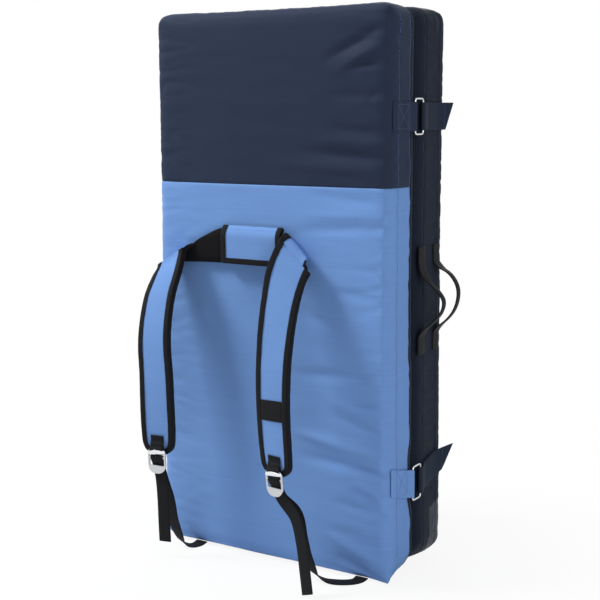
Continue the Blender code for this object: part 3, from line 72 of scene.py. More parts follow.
PAIR_ANGLE = math.radians(35)
PAIR_SHAPE = math.radians(50)
NEARLY = 0.99
WHITE = (1.0, 1.0, 1.0, 1.0)
Spot = tuple[float, float, float]
Piece = bpy.types.Object
BMesh = bmesh.types.BMesh
Node = bpy.types.Node
Socket = bpy.types.NodeSocket


class Body(Enum):
    """The bodies that pieces ride on."""

    CARRY = "carry_half"
    REAR = "rear_half"
    UPPER_RING = "upper_ring"
    LOWER_RING = "lower_ring"
    LEFT_STRAP = "left_shoulder_strap"
    RIGHT_STRAP = "right_shoulder_strap"
    LEFT_BUCKLE = "left_buckle_body"
    RIGHT_BUCKLE = "right_buckle_body"


class Slot(Enum):
    """The record's material slots."""

    NAVY = "navy_fabric"
    BLUE = "blue_fabric"
    WEBBING = "black_webbing"
    MESH = "black_mesh"
    BINDING = "black_binding"
    CLOSURE = "closure_webbing"
    PATCH = "grey_reinforcement"
    BUCKLE = "buckle_metal"
    RING = "ring_metal"
    ZIP = "zip_coil"
    SLIDER = "slider_metal"
    SOFT_FOAM = "soft_foam"
    FIRM_FOAM = "firm_foam"


def linear(*screen: int) -> Spot:
    """Turn a screen colour, red, green and blue from 0 to 255, into linear light."""
    shares = [value / 255 for value in screen]
    return tuple(share / 12.92 if share <= 0.04045 else ((share + 0.055) / 1.055) ** 2.4 for share in shares)


@dataclass
class NodeBench:
    """Lays shader nodes in a tree and joins them."""

    tree: bpy.types.NodeTree

    def add(self, kind: str, **settings: object) -> Node:
        """Add a node; settings are node options, or input values given by in_NAME."""
        node = self.tree.nodes.new(kind)
        for name, value in settings.items():
            if name.startswith("in_"):
                node.inputs[name[3:].replace("_", " ")].default_value = value
            else:
                setattr(node, name, value)
        return node

    def join(self, source: Socket, target: Socket) -> None:
        """Link one socket to another."""
        self.tree.links.new(source, target)

    def math(self, operation: str, *values: float | Socket) -> Socket:
        """Work out one sum on numbers or sockets, and return its socket."""
        node = self.add("ShaderNodeMath", operation=operation)
        for index, value in enumerate(values):
            if isinstance(value, Socket):
                self.join(value, node.inputs[index])
            else:
                node.inputs[index].default_value = value
        return node.outputs[0]

    def ranged(self, value: Socket, kind: str = "LINEAR", **ends: float) -> Socket:
        """Map a value from one range to another; ends are From_Min, From_Max, To_Min and To_Max."""
        ramp = self.add("ShaderNodeMapRange", interpolation_type=kind, **{f"in_{end}": at for end, at in ends.items()})
        self.join(value, ramp.inputs["Value"])
        return ramp.outputs["Result"]

    def mixed(self, share: Socket, first: Node, second: Node, surface: Socket) -> None:
        """Mix two shaders by a share and give the result to a surface."""
        mix = self.add("ShaderNodeMixShader")
        self.join(share, mix.inputs["Fac"])
        self.join(first.outputs[0], mix.inputs[1])
        self.join(second.outputs[0], mix.inputs[2])
        self.join(mix.outputs[0], surface)

    def seen(self) -> Socket:
        """Give 1 where the surface is looked at, directly, in a gloss or through glass."""
        rays = self.add("ShaderNodeLightPath").outputs
        looked = self.math("MAXIMUM", rays["Is Camera Ray"], rays["Is Glossy Ray"])
        return self.math("MAXIMUM", looked, rays["Is Transmission Ray"])

    def stretched(self, scale: Spot) -> Socket:
        """Give Object coordinates with each axis multiplied by a scale."""
        places = self.add("ShaderNodeTexCoord")
        mapping = self.add("ShaderNodeMapping")
        mapping.inputs["Scale"].default_value = scale
        self.join(places.outputs["Object"], mapping.inputs["Vector"])
        return mapping.outputs["Vector"]

    def speckle(self, scale: Spot, detail: float) -> Socket:
        """Give noise around 0.5 on stretched Object coordinates."""
        speckle = self.add("ShaderNodeTexNoise", in_Scale=1.0, in_Detail=detail)
        self.join(self.stretched(scale), speckle.inputs["Vector"])
        return speckle.outputs["Fac"]

    def group(self, name: str, **values: float) -> Node:
        """Place one of the shared node groups with its input values."""
        tree = bpy.data.node_groups.get(name) or SHARED_GROUPS[name](name)
        return self.add("ShaderNodeGroup", node_tree=tree, **{f"in_{key}": value for key, value in values.items()})


def new_group(
    name: str, inputs: dict[str, float], outputs: tuple[str, ...]
) -> tuple[bpy.types.NodeTree, NodeBench, Node, Node]:
    """Make an empty node group; return it with a bench on it and its input and output nodes."""
    tree = bpy.data.node_groups.new(name, "ShaderNodeTree")
    for label, value in inputs.items():
        socket = tree.interface.new_socket(label, in_out="INPUT", socket_type="NodeSocketFloat")
        socket.default_value = value
    for label in outputs:
        tree.interface.new_socket(label, in_out="OUTPUT", socket_type="NodeSocketFloat")
    return tree, NodeBench(tree), tree.nodes.new("NodeGroupInput"), tree.nodes.new("NodeGroupOutput")


def plain_weave_group(name: str) -> bpy.types.NodeTree:
    """Make the weave of the cloths: Relief follows the threads, and Shade varies from thread to thread."""
    tree, bench, start, end = new_group(name, {"Threads per metre": 1500.0, "Slub": 1.0}, ("Relief", "Shade"))
    places = bench.add("ShaderNodeTexCoord")
    apart = bench.add("ShaderNodeSeparateXYZ")
    bench.join(places.outputs["Object"], apart.inputs[0])
    turn = bench.math("MULTIPLY", start.outputs["Threads per metre"], math.pi)
    across = bench.math("ADD", apart.outputs["X"], apart.outputs["Y"])
    warp = bench.math("SINE", bench.math("MULTIPLY", across, turn))
    weft = bench.math("SINE", bench.math("MULTIPLY", apart.outputs["Z"], turn))
    relief = bench.math("MULTIPLY", warp, weft)
    bench.join(bench.math("MULTIPLY_ADD", relief, 0.5, 0.5), end.inputs["Relief"])
    slub = bench.speckle((9.0, 9.0, 520.0), 2.0)
    drift = bench.math("MULTIPLY", bench.math("SUBTRACT", slub, 0.5), start.outputs["Slub"])
    bench.join(bench.math("ADD", 0.5, drift), end.inputs["Shade"])
    return tree


def soft_cloud_group(name: str) -> bpy.types.NodeTree:
    """Make the slow unevenness of all finishes: Cloud moves slowly round 0.5 over the surface."""
    tree, bench, start, end = new_group(name, {"Strength": 1.0}, ("Cloud",))
    broad = bench.speckle((4.5, 4.5, 4.5), 3.0)
    fine = bench.speckle((60.0, 60.0, 60.0), 4.0)
    mixed = bench.math("ADD", bench.math("MULTIPLY", broad, 0.7), bench.math("MULTIPLY", fine, 0.3))
    drift = bench.math("MULTIPLY", bench.math("SUBTRACT", mixed, 0.5), start.outputs["Strength"])
    bench.join(bench.math("ADD", 0.5, drift), end.inputs["Cloud"])
    return tree


SHARED_GROUPS = {"plain_weave": plain_weave_group, "soft_cloud": soft_cloud_group}


@dataclass(frozen=True)
class Finish:
    """A surface: its material's name and its middle colour."""

    name: str
    colour: Spot

    def material(self) -> bpy.types.Material:
        """Return the finish's material, made once."""
        found = bpy.data.materials.get(self.name)
        if found:
            return found
        material, bench, shader = new_material(self.name)
        self.dress(bench, shader)
        return material

    def dress(self, bench: NodeBench, shader: Node) -> None:
        """Lay the nodes that make the finish."""
        raise NotImplementedError

    def tint(self, bench: NodeBench, shader: Node, shade: Socket) -> None:
        """Feed the colour, lightened and darkened by a shade round 1, to the shader."""
        mix = bench.add("ShaderNodeVectorMath", operation="SCALE")
        mix.inputs[0].default_value = self.colour
        bench.join(shade, mix.inputs["Scale"])
        bench.join(mix.outputs[0], shader.inputs["Base Color"])

    @staticmethod
    def roughen(bench: NodeBench, shader: Node, marks: Socket, middle: float, spread: float) -> None:
        """Make the roughness follow marks from 0 to 1: the middle where they are 0.5, and a spread about it."""
        bench.join(bench.math("MULTIPLY_ADD", marks, spread, middle - spread / 2), shader.inputs["Roughness"])


@dataclass(frozen=True)
class ClothFinish(Finish):
    """A woven cloth or webbing."""

    threads_per_metre: float = 1500.0
    slub: float = 0.25
    cloud: float = 0.35
    roughness: float = 0.72
    sheen: float = 0.15
    relief: float = 0.00012
    gloss: float = 0.06
    pucker: float = 0.0
    pucker_rate: Spot = (88.0, 13.0, 88.0)
    pucker_detail: float = 1.5
    pucker_strength: float = 0.9
    thread_share: float = 0.10
    darkest: float = 0.80
    lightest: float = 1.20
    spread: float = 0.16

    def dress(self, bench: NodeBench, shader: Node) -> None:
        """Lay the weave in colour, roughness and relief, and the puckers of gathered cloth."""
        weave = bench.group("plain_weave", Threads_per_metre=self.threads_per_metre, Slub=self.slub)
        cloud = bench.group("soft_cloud", Strength=self.cloud).outputs["Cloud"]
        threads = bench.math("MULTIPLY_ADD", weave.outputs["Relief"], self.thread_share, 0.5)
        shade = bench.math("ADD", bench.math("ADD", weave.outputs["Shade"], cloud), threads)
        self.tint(bench, shader, bench.ranged(shade, From_Max=2.0, To_Min=self.darkest, To_Max=self.lightest))
        self.roughen(bench, shader, cloud, self.roughness, self.spread)
        shader.inputs["Sheen Weight"].default_value = self.sheen
        shader.inputs["Sheen Roughness"].default_value = 0.5
        shader.inputs["Specular IOR Level"].default_value = self.gloss
        bump = raise_relief(bench, shader, weave.outputs["Relief"], self.relief)
        if self.pucker:
            gathers = bench.add("ShaderNodeBump", in_Distance=self.pucker, in_Strength=self.pucker_strength)
            bench.join(bench.speckle(self.pucker_rate, self.pucker_detail), gathers.inputs["Height"])
            bench.join(gathers.outputs["Normal"], bump.inputs["Normal"])


@dataclass(frozen=True)
class RibFinish(Finish):
    """A tape with ribs across it, such as binding, webbing or a zip."""

    ribs_per_metre: float = 620.0
    along: Spot = (0.25, 0.25, 1.0)
    roughness: float = 0.62
    sheen: float = 0.03
    relief: float = 0.0002
    distortion: float = 0.6
    cloud: float = 0.8
    rib_share: float = 0.35
    darkest: float = 0.70
    lightest: float = 1.35
    spread: float = 0.2
    gloss: float = 0.08

    def dress(self, bench: NodeBench, shader: Node) -> None:
        """Lay the ribs across the tape's length."""
        wave = bench.add("ShaderNodeTexWave", wave_type="BANDS", bands_direction="DIAGONAL", in_Scale=1.0)
        wave.inputs["Distortion"].default_value = self.distortion
        bench.join(bench.stretched(tuple(self.ribs_per_metre * share for share in self.along)), wave.inputs["Vector"])
        ribs = wave.outputs["Fac"]
        cloud = bench.group("soft_cloud", Strength=self.cloud).outputs["Cloud"]
        shade = bench.math("MULTIPLY_ADD", ribs, self.rib_share, cloud)
        most = 1.0 + self.rib_share
        self.tint(bench, shader, bench.ranged(shade, From_Max=most, To_Min=self.darkest, To_Max=self.lightest))
        self.roughen(bench, shader, cloud, self.roughness, self.spread)
        shader.inputs["Sheen Weight"].default_value = self.sheen
        shader.inputs["Specular IOR Level"].default_value = self.gloss
        raise_relief(bench, shader, ribs, self.relief)


@dataclass(frozen=True)
class CellFinish(Finish):
    """A surface of small cells, such as spacer mesh or foam."""

    cells_per_metre: float
    depth: float
    roughness: float = 0.9
    darkest: float = 0.35
    lightest: float = 1.15
    hollow: float = 0.12
    rim: float = 0.5
    unlike: float = 0.35
    spread: float = 0.1
    gloss: float = 0.06

    def dress(self, bench: NodeBench, shader: Node) -> None:
        """Lay the cells, each sunk, with painted shade darkening its hollow."""
        cells = bench.add("ShaderNodeTexVoronoi", in_Scale=1.0, in_Randomness=self.unlike)
        bench.join(bench.stretched((self.cells_per_metre,) * 3), cells.inputs["Vector"])
        wall = cells.outputs["Distance"]
        # Painted shade: each cell's hollow is darkened, from lightest at the rim to darkest at the middle.
        ends = {"From_Min": self.hollow, "From_Max": self.rim, "To_Min": self.darkest, "To_Max": self.lightest}
        self.tint(bench, shader, bench.ranged(wall, **ends))
        self.roughen(bench, shader, wall, self.roughness, self.spread)
        shader.inputs["Specular IOR Level"].default_value = self.gloss
        raise_relief(bench, shader, wall, self.depth)


@dataclass(frozen=True)
class MetalFinish(Finish):
    """A cast or plated metal with fine marks."""

    roughness: float
    marks: float = 0.00003
    mark_rate: Spot = (900.0, 260.0, 2400.0)
    mark_detail: float = 4.0
    mark_share: float = 0.3
    cloud: float = 1.2
    darkest: float = 0.82
    lightest: float = 1.08
    spread: float = 0.22

    def dress(self, bench: NodeBench, shader: Node) -> None:
        """Lay marks that make gloss and colour a little uneven."""
        marks = bench.speckle(self.mark_rate, self.mark_detail)
        cloud = bench.group("soft_cloud", Strength=self.cloud).outputs["Cloud"]
        shade = bench.math("ADD", bench.math("MULTIPLY", marks, self.mark_share), cloud)
        most = 1.0 + self.mark_share
        self.tint(bench, shader, bench.ranged(shade, From_Max=most, To_Min=self.darkest, To_Max=self.lightest))
        self.roughen(bench, shader, marks, self.roughness, self.spread)
        shader.inputs["Metallic"].default_value = 1.0
        raise_relief(bench, shader, marks, self.marks)


def new_material(name: str) -> tuple[bpy.types.Material, NodeBench, Node]:
    """Make a material and return it with a bench on its tree and its Principled shader."""
    material = bpy.data.materials.new(name)
    material.use_nodes = True
    return material, NodeBench(material.node_tree), material.node_tree.nodes["Principled BSDF"]


def raise_relief(bench: NodeBench, shader: Node, height: Socket, depth: float) -> Node:
    """Give a shader a relief of that depth in metres, and return its Bump node."""
    bump = bench.add("ShaderNodeBump", in_Distance=depth, in_Strength=0.8)
    bench.join(height, bump.inputs["Height"])
    bench.join(bump.outputs["Normal"], shader.inputs["Normal"])
    return bump


FINISHES = {
    Slot.NAVY: ClothFinish("navy_cloth", linear(40, 49, 68), slub=0.25, cloud=0.8, sheen=0.03, roughness=0.66),
    Slot.BLUE: ClothFinish("light_blue_cloth", linear(108, 145, 200), slub=0.8, cloud=0.3, sheen=0.05),
    Slot.CLOSURE: ClothFinish("closure_cloth", linear(37, 45, 59), 1100.0, sheen=0.05, roughness=0.8),
    Slot.PATCH: ClothFinish("grey_coated_cloth", linear(40, 45, 55), 900.0, roughness=0.42, sheen=0.0, gloss=0.14),
    Slot.WEBBING: RibFinish("black_webbing_weave", linear(23, 24, 27)),
    Slot.BINDING: RibFinish("black_binding_tape", linear(21, 21, 24), ribs_per_metre=800.0),
    Slot.ZIP: RibFinish("black_zip", linear(30, 30, 34), ribs_per_metre=700.0, along=(0.0, 0.0, 1.0), relief=0.0004),
    Slot.MESH: CellFinish("black_spacer_mesh", linear(24, 24, 26), 420.0, 0.0006),
    Slot.SOFT_FOAM: CellFinish("open_cell_foam", linear(206, 196, 160), 900.0, 0.0005, darkest=0.75),
    Slot.FIRM_FOAM: CellFinish("closed_cell_foam", linear(74, 78, 84), 500.0, 0.0003, darkest=0.85),
    Slot.BUCKLE: MetalFinish("satin_buckle_metal", linear(206, 208, 212), 0.30),
    Slot.RING: MetalFinish("bright_ring_metal", linear(212, 214, 218), 0.24),
    Slot.SLIDER: MetalFinish("dark_slider_metal", linear(84, 86, 92), 0.36),
}
# The buckle's metal, a little smoother, made lighter for the arched rim: a painted highlight where the rim catches the
# key lamp.
RIM_METAL_PAINTED_HIGHLIGHT = replace(FINISHES[Slot.BUCKLE], name="rim_metal_painted_highlight", colour=linear(240, 242, 246), roughness=0.26)
ACROSS_FACE = (7.0, 30.0, 26.0)
NAVY_GATHERED = replace(FINISHES[Slot.NAVY], name="navy_gathered_cloth", pucker=0.0030)
BLUE_GATHERED = replace(FINISHES[Slot.BLUE], name="light_blue_gathered_cloth", pucker=0.0026)
# Darker copies of the navy cloth for the rear half and the landing panel: painted shade, where these get less light.
SHADED_NAVY_GATHERED = replace(NAVY_GATHERED, name="navy_gathered_cloth_painted_shade", colour=linear(26, 33, 46))
NAVY_CREASED = replace(FINISHES[Slot.NAVY], name="navy_creased_cloth", pucker=0.0022, pucker_rate=ACROSS_FACE)
BLUE_CREASED = replace(FINISHES[Slot.BLUE], name="light_blue_creased_cloth", pucker=0.0020, pucker_rate=ACROSS_FACE)
SHADED_NAVY_CREASED = replace(NAVY_CREASED, name="navy_creased_cloth_painted_shade", colour=linear(26, 33, 46))
THREADS = {
    name: ClothFinish(f"{name}_thread", linear(*colour), 3000.0, relief=0.00004)
    for name, colour in {
        "mid_blue": (84, 114, 158),
        "tab": (78, 92, 122),
        "blue_tab": (66, 98, 158),
        "yoke": (78, 112, 172),
        "dark": (38, 48, 68),
    }.items()
}


def mesh_of(node: str) -> BMesh:
    """Copy a CAD node's mesh with its loose triangles merged and paired into four-sided faces."""
    bm = bmesh.new()
    bm.from_mesh(frame["nodes"][node].data)
    bmesh.ops.remove_doubles(bm, verts=bm.verts, dist=WELD)
    bmesh.ops.join_triangles(bm, faces=bm.faces, angle_face_threshold=PAIR_ANGLE, angle_shape_threshold=PAIR_SHAPE)
    return bm


def crease_sharp(bm: BMesh, strength: float) -> None:
    """Crease the sharp edges by a strength from 0 to 1, so that a subdivision keeps them."""
    layer = bm.edges.layers.float.get("crease_edge") or bm.edges.layers.float.new("crease_edge")
    for edge in bm.edges:
        if len(edge.link_faces) == 2 and edge.calc_face_angle() > CREASE_ANGLE:
            edge[layer] = strength


def new_piece(name: str, bm: BMesh) -> Piece:
    """Put a bmesh, which is freed, into the scene as an object at the origin."""
    mesh = bpy.data.meshes.new(name)
    bm.to_mesh(mesh)
    bm.free()
    piece = bpy.data.objects.new(name, mesh)
    bpy.context.scene.collection.objects.link(piece)
    return piece


def modify(piece: Piece, kind: str, **options: object) -> bpy.types.Modifier:
    """Add a modifier to a piece and set its options."""
    modifier = piece.modifiers.new(kind.lower(), kind)
    for option, value in options.items():
        setattr(modifier, option, value)
    return modifier


def finished(
    name: str, bm: BMesh, finish: Finish, levels: int = 0, bevel: float = 0.0, thickness: float = 0.0
) -> Piece:
    """Turn a bmesh into a piece with its modifiers applied.

    Args:
        name: The piece's name.
        bm: The mesh, which is freed.
        finish: The finish whose material it gets.
        levels: Levels of subdivision surface.
        bevel: Width of a bevel on its sharp edges, in metres.
        thickness: Thickness given to an open sheet, inwards, in metres.

    Returns:
        The piece.
    """
    piece = new_piece(name, bm)
    if thickness:
        modify(piece, "SOLIDIFY", thickness=thickness, offset=-1.0)
    if bevel:
        modify(piece, "BEVEL", width=bevel, segments=2, limit_method="ANGLE", angle_limit=CREASE_ANGLE)
    if levels:
        modify(piece, "SUBSURF", levels=levels, render_levels=levels)
    apply_modifiers(piece)
    piece.data.materials.clear()
    piece.data.materials.append(finish.material())
    piece.data.shade_smooth()
    if bevel:
        piece.data.set_sharp_from_angle(angle=SHARP_ANGLE)
    LOG.info("made %s: %d faces", name, len(piece.data.polygons))
    return piece


def apply_modifiers(piece: Piece) -> None:
    """Replace a piece's mesh by what its modifiers make of it."""
    if not piece.modifiers:
        return
    depsgraph = bpy.context.evaluated_depsgraph_get()
    made = bpy.data.meshes.new_from_object(piece.evaluated_get(depsgraph), depsgraph=depsgraph)
    piece.modifiers.clear()
    piece.data = made


def read_rows(values: bpy.types.bpy_prop_collection, field_name: str) -> np.ndarray:
    """Return one vector field of a mesh's collection as rows of x, y, z."""
    flat = np.empty(len(values) * 3, np.float32)
    values.foreach_get(field_name, flat)
    return flat.reshape(-1, 3).astype(float)


def points_of(piece: Piece) -> np.ndarray:
    """Return a piece's points as rows of x, y, z."""
    return read_rows(piece.data.vertices, "co")


def normals_of(piece: Piece) -> np.ndarray:
    """Return a piece's point normals as rows of x, y, z."""
    return read_rows(piece.data.vertex_normals, "vector")


def move_points(piece: Piece, points: np.ndarray) -> None:
    """Put a piece's points where the rows of x, y, z say."""
    piece.data.vertices.foreach_set("co", points.astype(np.float32).ravel())
    piece.data.update()


def wander(points: np.ndarray, scale: Spot, seed: float) -> np.ndarray:
    """Give smooth noise from -1 to 1 at each point; the seed moves the pattern."""
    places = points * np.array(scale) + seed
    return np.array([noise.noise(Vector(place)) for place in places])


@dataclass(frozen=True)
class Unevenness:
    """Smooth noise of some height, with its rate of change along each axis, per metre, and a seed."""

    height: float
    rate: Spot
    seed: float

    def at(self, points: np.ndarray) -> np.ndarray:
        """Return the rise at each point."""
        return self.height * wander(points, self.rate, self.seed)


def smooth_step(value: np.ndarray, start: float, end: float) -> np.ndarray:
    """Go smoothly from 0 at start to 1 at end."""
    share = np.clip((value - start) / (end - start), 0.0, 1.0)
    return share * share * (3.0 - 2.0 * share)


def bell(off: np.ndarray, width: float) -> np.ndarray:
    """Return 1 in the middle, falling to nothing some widths away."""
    return np.exp(-((off / width) ** 2))


@dataclass(frozen=True)
class Fold:
    """One soft fold in a panel, from one end to the other in x and z; a valley has a height below 0."""

    start: tuple[float, float]
    end: tuple[float, float]
    width: float
    height: float
    rise_start: float = 0.35
    rise_run: float = math.pi * 0.85

    def lift(self, points: np.ndarray) -> np.ndarray:
        """Return how far the fold lifts each point off the panel."""
        start = np.array(self.start)
        run = np.array(self.end) - start
        place = points[:, [0, 2]] - start
        along = np.clip(place @ run / (run @ run), 0.0, 1.0)
        near = bell(np.linalg.norm(place - along[:, None] * run, axis=1), self.width)
        rise = np.sin(along * self.rise_run + self.rise_start)
        return FOLD_STRENGTH * self.height * near * np.clip(rise, 0.0, 1.0)


@dataclass(frozen=True)
class Ear:
    """A corner of a cover where the cloth stands out to a soft point, or sinks where the strength is below 0."""

    tip: Spot
    reach: float
    strength: float
    run_out: float = 0.03

    def draw(self, points: np.ndarray, upright: bool = False) -> np.ndarray:
        """Draw points toward the tip, or, keeping their heights, toward the upright edge through it."""
        toward = (np.array(self.tip) - points) * (1.0, 1.0, 0.0 if upright else 1.0)
        pull = self.strength * bell(np.linalg.norm(toward, axis=1), self.reach)
        if upright:
            height = points[:, 2]
            pull *= smooth_step(height, 0.0, self.run_out) * smooth_step(height, 1.0, 1.0 - self.run_out)
        return points + toward * pull[:, None]


@dataclass(frozen=True)
class Bulge:
    """A stretch of the right-hand gusset where the foam pushes the cloth out."""

    middle: float
    width: float
    lowest: float
    highest: float
    height: float
    run_out: float = 0.03
    wall: tuple[float, float] = (0.215, 0.245)

    def push(self, points: np.ndarray) -> np.ndarray:
        """Return how far the bulge moves each point along +X."""
        across = bell(points[:, 1] - self.middle, self.width)
        along = smooth_step(points[:, 2], self.lowest, self.lowest + self.run_out)
        along *= smooth_step(points[:, 2], self.highest, self.highest - self.run_out)
        return self.height * across * along * smooth_step(points[:, 0], *self.wall)


CLOTH_SETTINGS = {
    "quality": 4,
    "mass": 0.2,
    "use_pressure": True,
    "uniform_pressure_force": 4.0,
    "vertex_group_mass": "held",
    "vertex_group_shrink": "loose",
    "shrink_min": 0.0,
    "tension_stiffness": 20.0,
    "compression_stiffness": 20.0,
    "shear_stiffness": 8.0,
    "bending_stiffness": 1.5,
}


@dataclass
class SlabCover:
    """The sewn cover of one padded half, cut into its panels."""

    prefix: str
    body: Body
    panels: dict[str, Slot]
    face_sign: float
    folds: tuple[Fold, ...] = ()
    ears: tuple[Ear, ...] = ()
    full_edges: tuple[Ear, ...] = ()
    bulges: tuple[Bulge, ...] = ()
    voxel: float = 0.005
    cloth: float = 0.001
    top_radius: float = 0.032
    bottom_radius: float = 0.045
    edge_radius: float = 0.025
    corner_segments: int = 8
    rim_segments: int = 6
    seam_depth: float = 0.0011
    seam_width: float = 0.0028
    seam_steps: tuple[float, ...] = (-1.6, -0.8, 0.0, 0.8, 1.6)
    colour_seam_share: float = 0.7
    pucker: float = 0.0013
    pucker_width: float = 0.009
    crease_depth: float = 0.0016
    rim: tuple[float, float] = (0.030, 0.004)
    creased: tuple[float, float] = (0.10, 0.235)
    foam_grip: float = 0.32
    seam_grip: tuple[float, float] = (0.010, 0.003)
    slack: float = 0.035
    slack_reach: float = 0.018
    seam_slack: tuple[float, float] = (0.35, 0.9)
    patch_slack: float = 0.12
    slack_patches: Unevenness = Unevenness(0.5, (6.0, 6.0, 8.0), 12.3)
    surface: tuple[Unevenness, ...] = (
        Unevenness(0.0009, (7.0, 7.0, 9.0), 3.1), Unevenness(0.0005, (14.0, 30.0, 34.0), 8.7)
    )
    creases: tuple[tuple[Unevenness, float, float], ...] = (
        (Unevenness(1 / 0.10, (7.0, 22.0, 34.0), 5.3), 1.0, 1.0),
        (Unevenness(1 / 0.12, (16.0, 40.0, 75.0), 9.9), 0.5, 2.0),
    )
    puckers: tuple[tuple[float, Spot, float], ...] = (
        (1.0, (60.0, 14.0, 60.0), 31.0), (0.6, (120.0, 26.0, 120.0), 77.0)
    )
    sink_cap: float = 0.0012
    puff_cap: float = 0.0035
    stitch_step: float = 0.0022
    sweep: int = 2400
    plumpness: float = 0.9
    panel_share: float = 0.8
    colour_seam: float = 0.0
    seams: list[float] = field(default_factory=list)

    def cad_shell(self) -> BVHTree:
        """Return a search tree over the CAD panels' outsides."""
        points: list[Vector] = []
        faces: list[list[int]] = []
        for node in self.panels:
            mesh = frame["nodes"][node].data
            base = len(points)
            points += [vert.co.copy() for vert in mesh.vertices]
            faces += [[base + index for index in face.vertices] for face in mesh.polygons]
        return BVHTree.FromPolygons(points, faces)

    def span(self) -> tuple[Vector, Vector]:
        """Return the lowest and highest corner of the CAD panels together."""
        boxes = [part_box(node) for node in self.panels]
        low = Vector(min(box[0][axis] for box in boxes) for axis in range(3))
        high = Vector(max(box[1][axis] for box in boxes) for axis in range(3))
        return low, high

    def rough_slab(self) -> BMesh:
        """Return a box of the half's size with its corners and rims rounded."""
        low, high = self.span()
        grow = Vector((self.cloth,) * 3)
        size = high - low + grow
        bm = bmesh.new()
        bmesh.ops.create_cube(bm, size=1.0)
        bmesh.ops.scale(bm, vec=size, verts=bm.verts)
        bmesh.ops.translate(bm, vec=(low + high) / 2, verts=bm.verts)
        middle = (low.z + high.z) / 2
        for upper, radius in ((True, self.top_radius), (False, self.bottom_radius)):
            corners = [
                edge for edge in bm.edges
                if abs((edge.verts[0].co - edge.verts[1].co).normalized().y) > NEARLY
                and abs(edge.verts[0].co.x) > size.x / 2 * NEARLY
                and (edge.verts[0].co.z > middle) == upper
            ]
            self.round_off(bm, corners, radius, self.corner_segments)
        centre = (low.y + high.y) / 2
        rims = [edge for edge in bm.edges if abs(abs(edge.verts[0].co.y - centre) - size.y / 2) < WELD
                and abs(edge.verts[0].co.y - edge.verts[1].co.y) < WELD]
        self.round_off(bm, rims, self.edge_radius, self.rim_segments)
        return bm

    @staticmethod
    def round_off(bm: BMesh, edges: list[bmesh.types.BMEdge], radius: float, segments: int) -> None:
        """Round edges off to a radius."""
        bmesh.ops.bevel(bm, geom=edges, offset=radius, segments=segments, affect="EDGES", profile=0.5, material=-1)

    def even_skin(self) -> Piece:
        """Return the whole half as one even mesh that lies on the CAD cover."""
        skin = new_piece(f"{self.prefix}_skin", self.rough_slab())
        modify(skin, "REMESH", mode="VOXEL", voxel_size=self.voxel)
        apply_modifiers(skin)
        shell = self.cad_shell()
        points = [shell.find_nearest(vert.co)[0] for vert in skin.data.vertices]
        move_points(skin, np.array([tuple(point) for point in points]))
        return skin

    def settle(self, skin: Piece) -> None:
        """Let the even skin puff and wrinkle over the foam while its seams are held."""
        points = points_of(skin)
        off = np.min([np.abs(points[:, 1] - seam) for seam in self.seams], axis=0)
        held = skin.vertex_groups.new(name="held")
        loose = skin.vertex_groups.new(name="loose")
        grip = self.foam_grip + (1.0 - self.foam_grip) * smooth_step(off, *self.seam_grip)
        slack = self.slack_pattern(points, off)
        for index in range(len(points)):
            held.add([index], float(grip[index]), "REPLACE")
            loose.add([index], float(slack[index]), "REPLACE")
        cloth = modify(skin, "CLOTH")
        for option, value in CLOTH_SETTINGS.items():
            setattr(cloth.settings, option, value)
        cloth.settings.shrink_max = -self.slack
        cloth.settings.effector_weights.gravity = 0.0
        cloth.collision_settings.use_collision = False
        cloth.point_cache.frame_start = 1
        cloth.point_cache.frame_end = SETTLE_FRAMES
        for step in range(1, SETTLE_FRAMES + 1):
            bpy.context.scene.frame_set(step)
        normals = normals_of(skin)
        apply_modifiers(skin)
        moved = points_of(skin) - points
        rise = (moved * normals).sum(axis=1)
        slide = moved - normals * rise[:, None]
        rise = np.clip(rise, -self.sink_cap, self.puff_cap)
        move_points(skin, points + normals * rise[:, None] + slide * 0.5)

    def slack_pattern(self, points: np.ndarray, off: np.ndarray) -> np.ndarray:
        """Return how loose the cloth is: near 1 beside the seams, off being the distance, and in patches."""
        near = np.exp(-off / self.slack_reach)
        patches = 0.5 + self.slack_patches.at(points)
        least, more = self.seam_slack
        return np.clip(near * (least + more * patches) + self.patch_slack * patches, 0.0, 1.0)

    def cut_seams(self, skin: Piece) -> BMesh:
        """Score the seams, with rows of points beside each for the sunk stitch line."""
        bm = bmesh.new()
        bm.from_mesh(skin.data)
        bpy.data.objects.remove(skin)
        for _ in range(2):
            bmesh.ops.smooth_vert(bm, verts=bm.verts, factor=0.5, use_axis_x=True, use_axis_y=True, use_axis_z=True)
        beside = [share * self.seam_width for share in self.seam_steps]
        for seam in self.seams:
            for step in beside:
                self.score(bm, Vector((0, seam + step, 0)), Vector((0, 1, 0)))
        if self.colour_seam:
            for step in beside:
                self.score(bm, Vector((0, 0, self.colour_seam + step)), Vector((0, 0, 1)))
        return bm

    @staticmethod
    def score(bm: BMesh, place: Vector, normal: Vector) -> None:
        """Cut new edges along a plane."""
        geometry = bm.verts[:] + bm.edges[:] + bm.faces[:]
        bmesh.ops.bisect_plane(bm, geom=geometry, dist=WELD, plane_co=place, plane_no=normal)

    def shape(self, bm: BMesh) -> None:
        """Crown, wrinkle and pucker the cover, and sink its seams."""
        bm.normal_update()
        points = np.array([tuple(vert.co) for vert in bm.verts])
        normals = np.array([tuple(vert.normal) for vert in bm.verts])
        low, high = self.span()
        lift = self.wrinkles(points, low, high)
        for seam in self.seams:
            off = points[:, 1] - seam
            lift -= self.seam_depth * bell(off, self.seam_width)
            near = self.pucker * bell(off, self.pucker_width)
            for share, rate, seed in self.puckers:
                lift += near * share * wander(points, rate, seam * seed)
        if self.colour_seam:
            sunk = self.seam_depth * bell(points[:, 2] - self.colour_seam, self.seam_width)
            lift -= self.colour_seam_share * sunk * (points[:, 1] < self.seams[1])
        moved = self.draw_out(points + normals * lift[:, None])
        moved[:, 2] = np.maximum(moved[:, 2], low.z)
        for vert, place in zip(bm.verts, moved):
            vert.co = Vector(place)

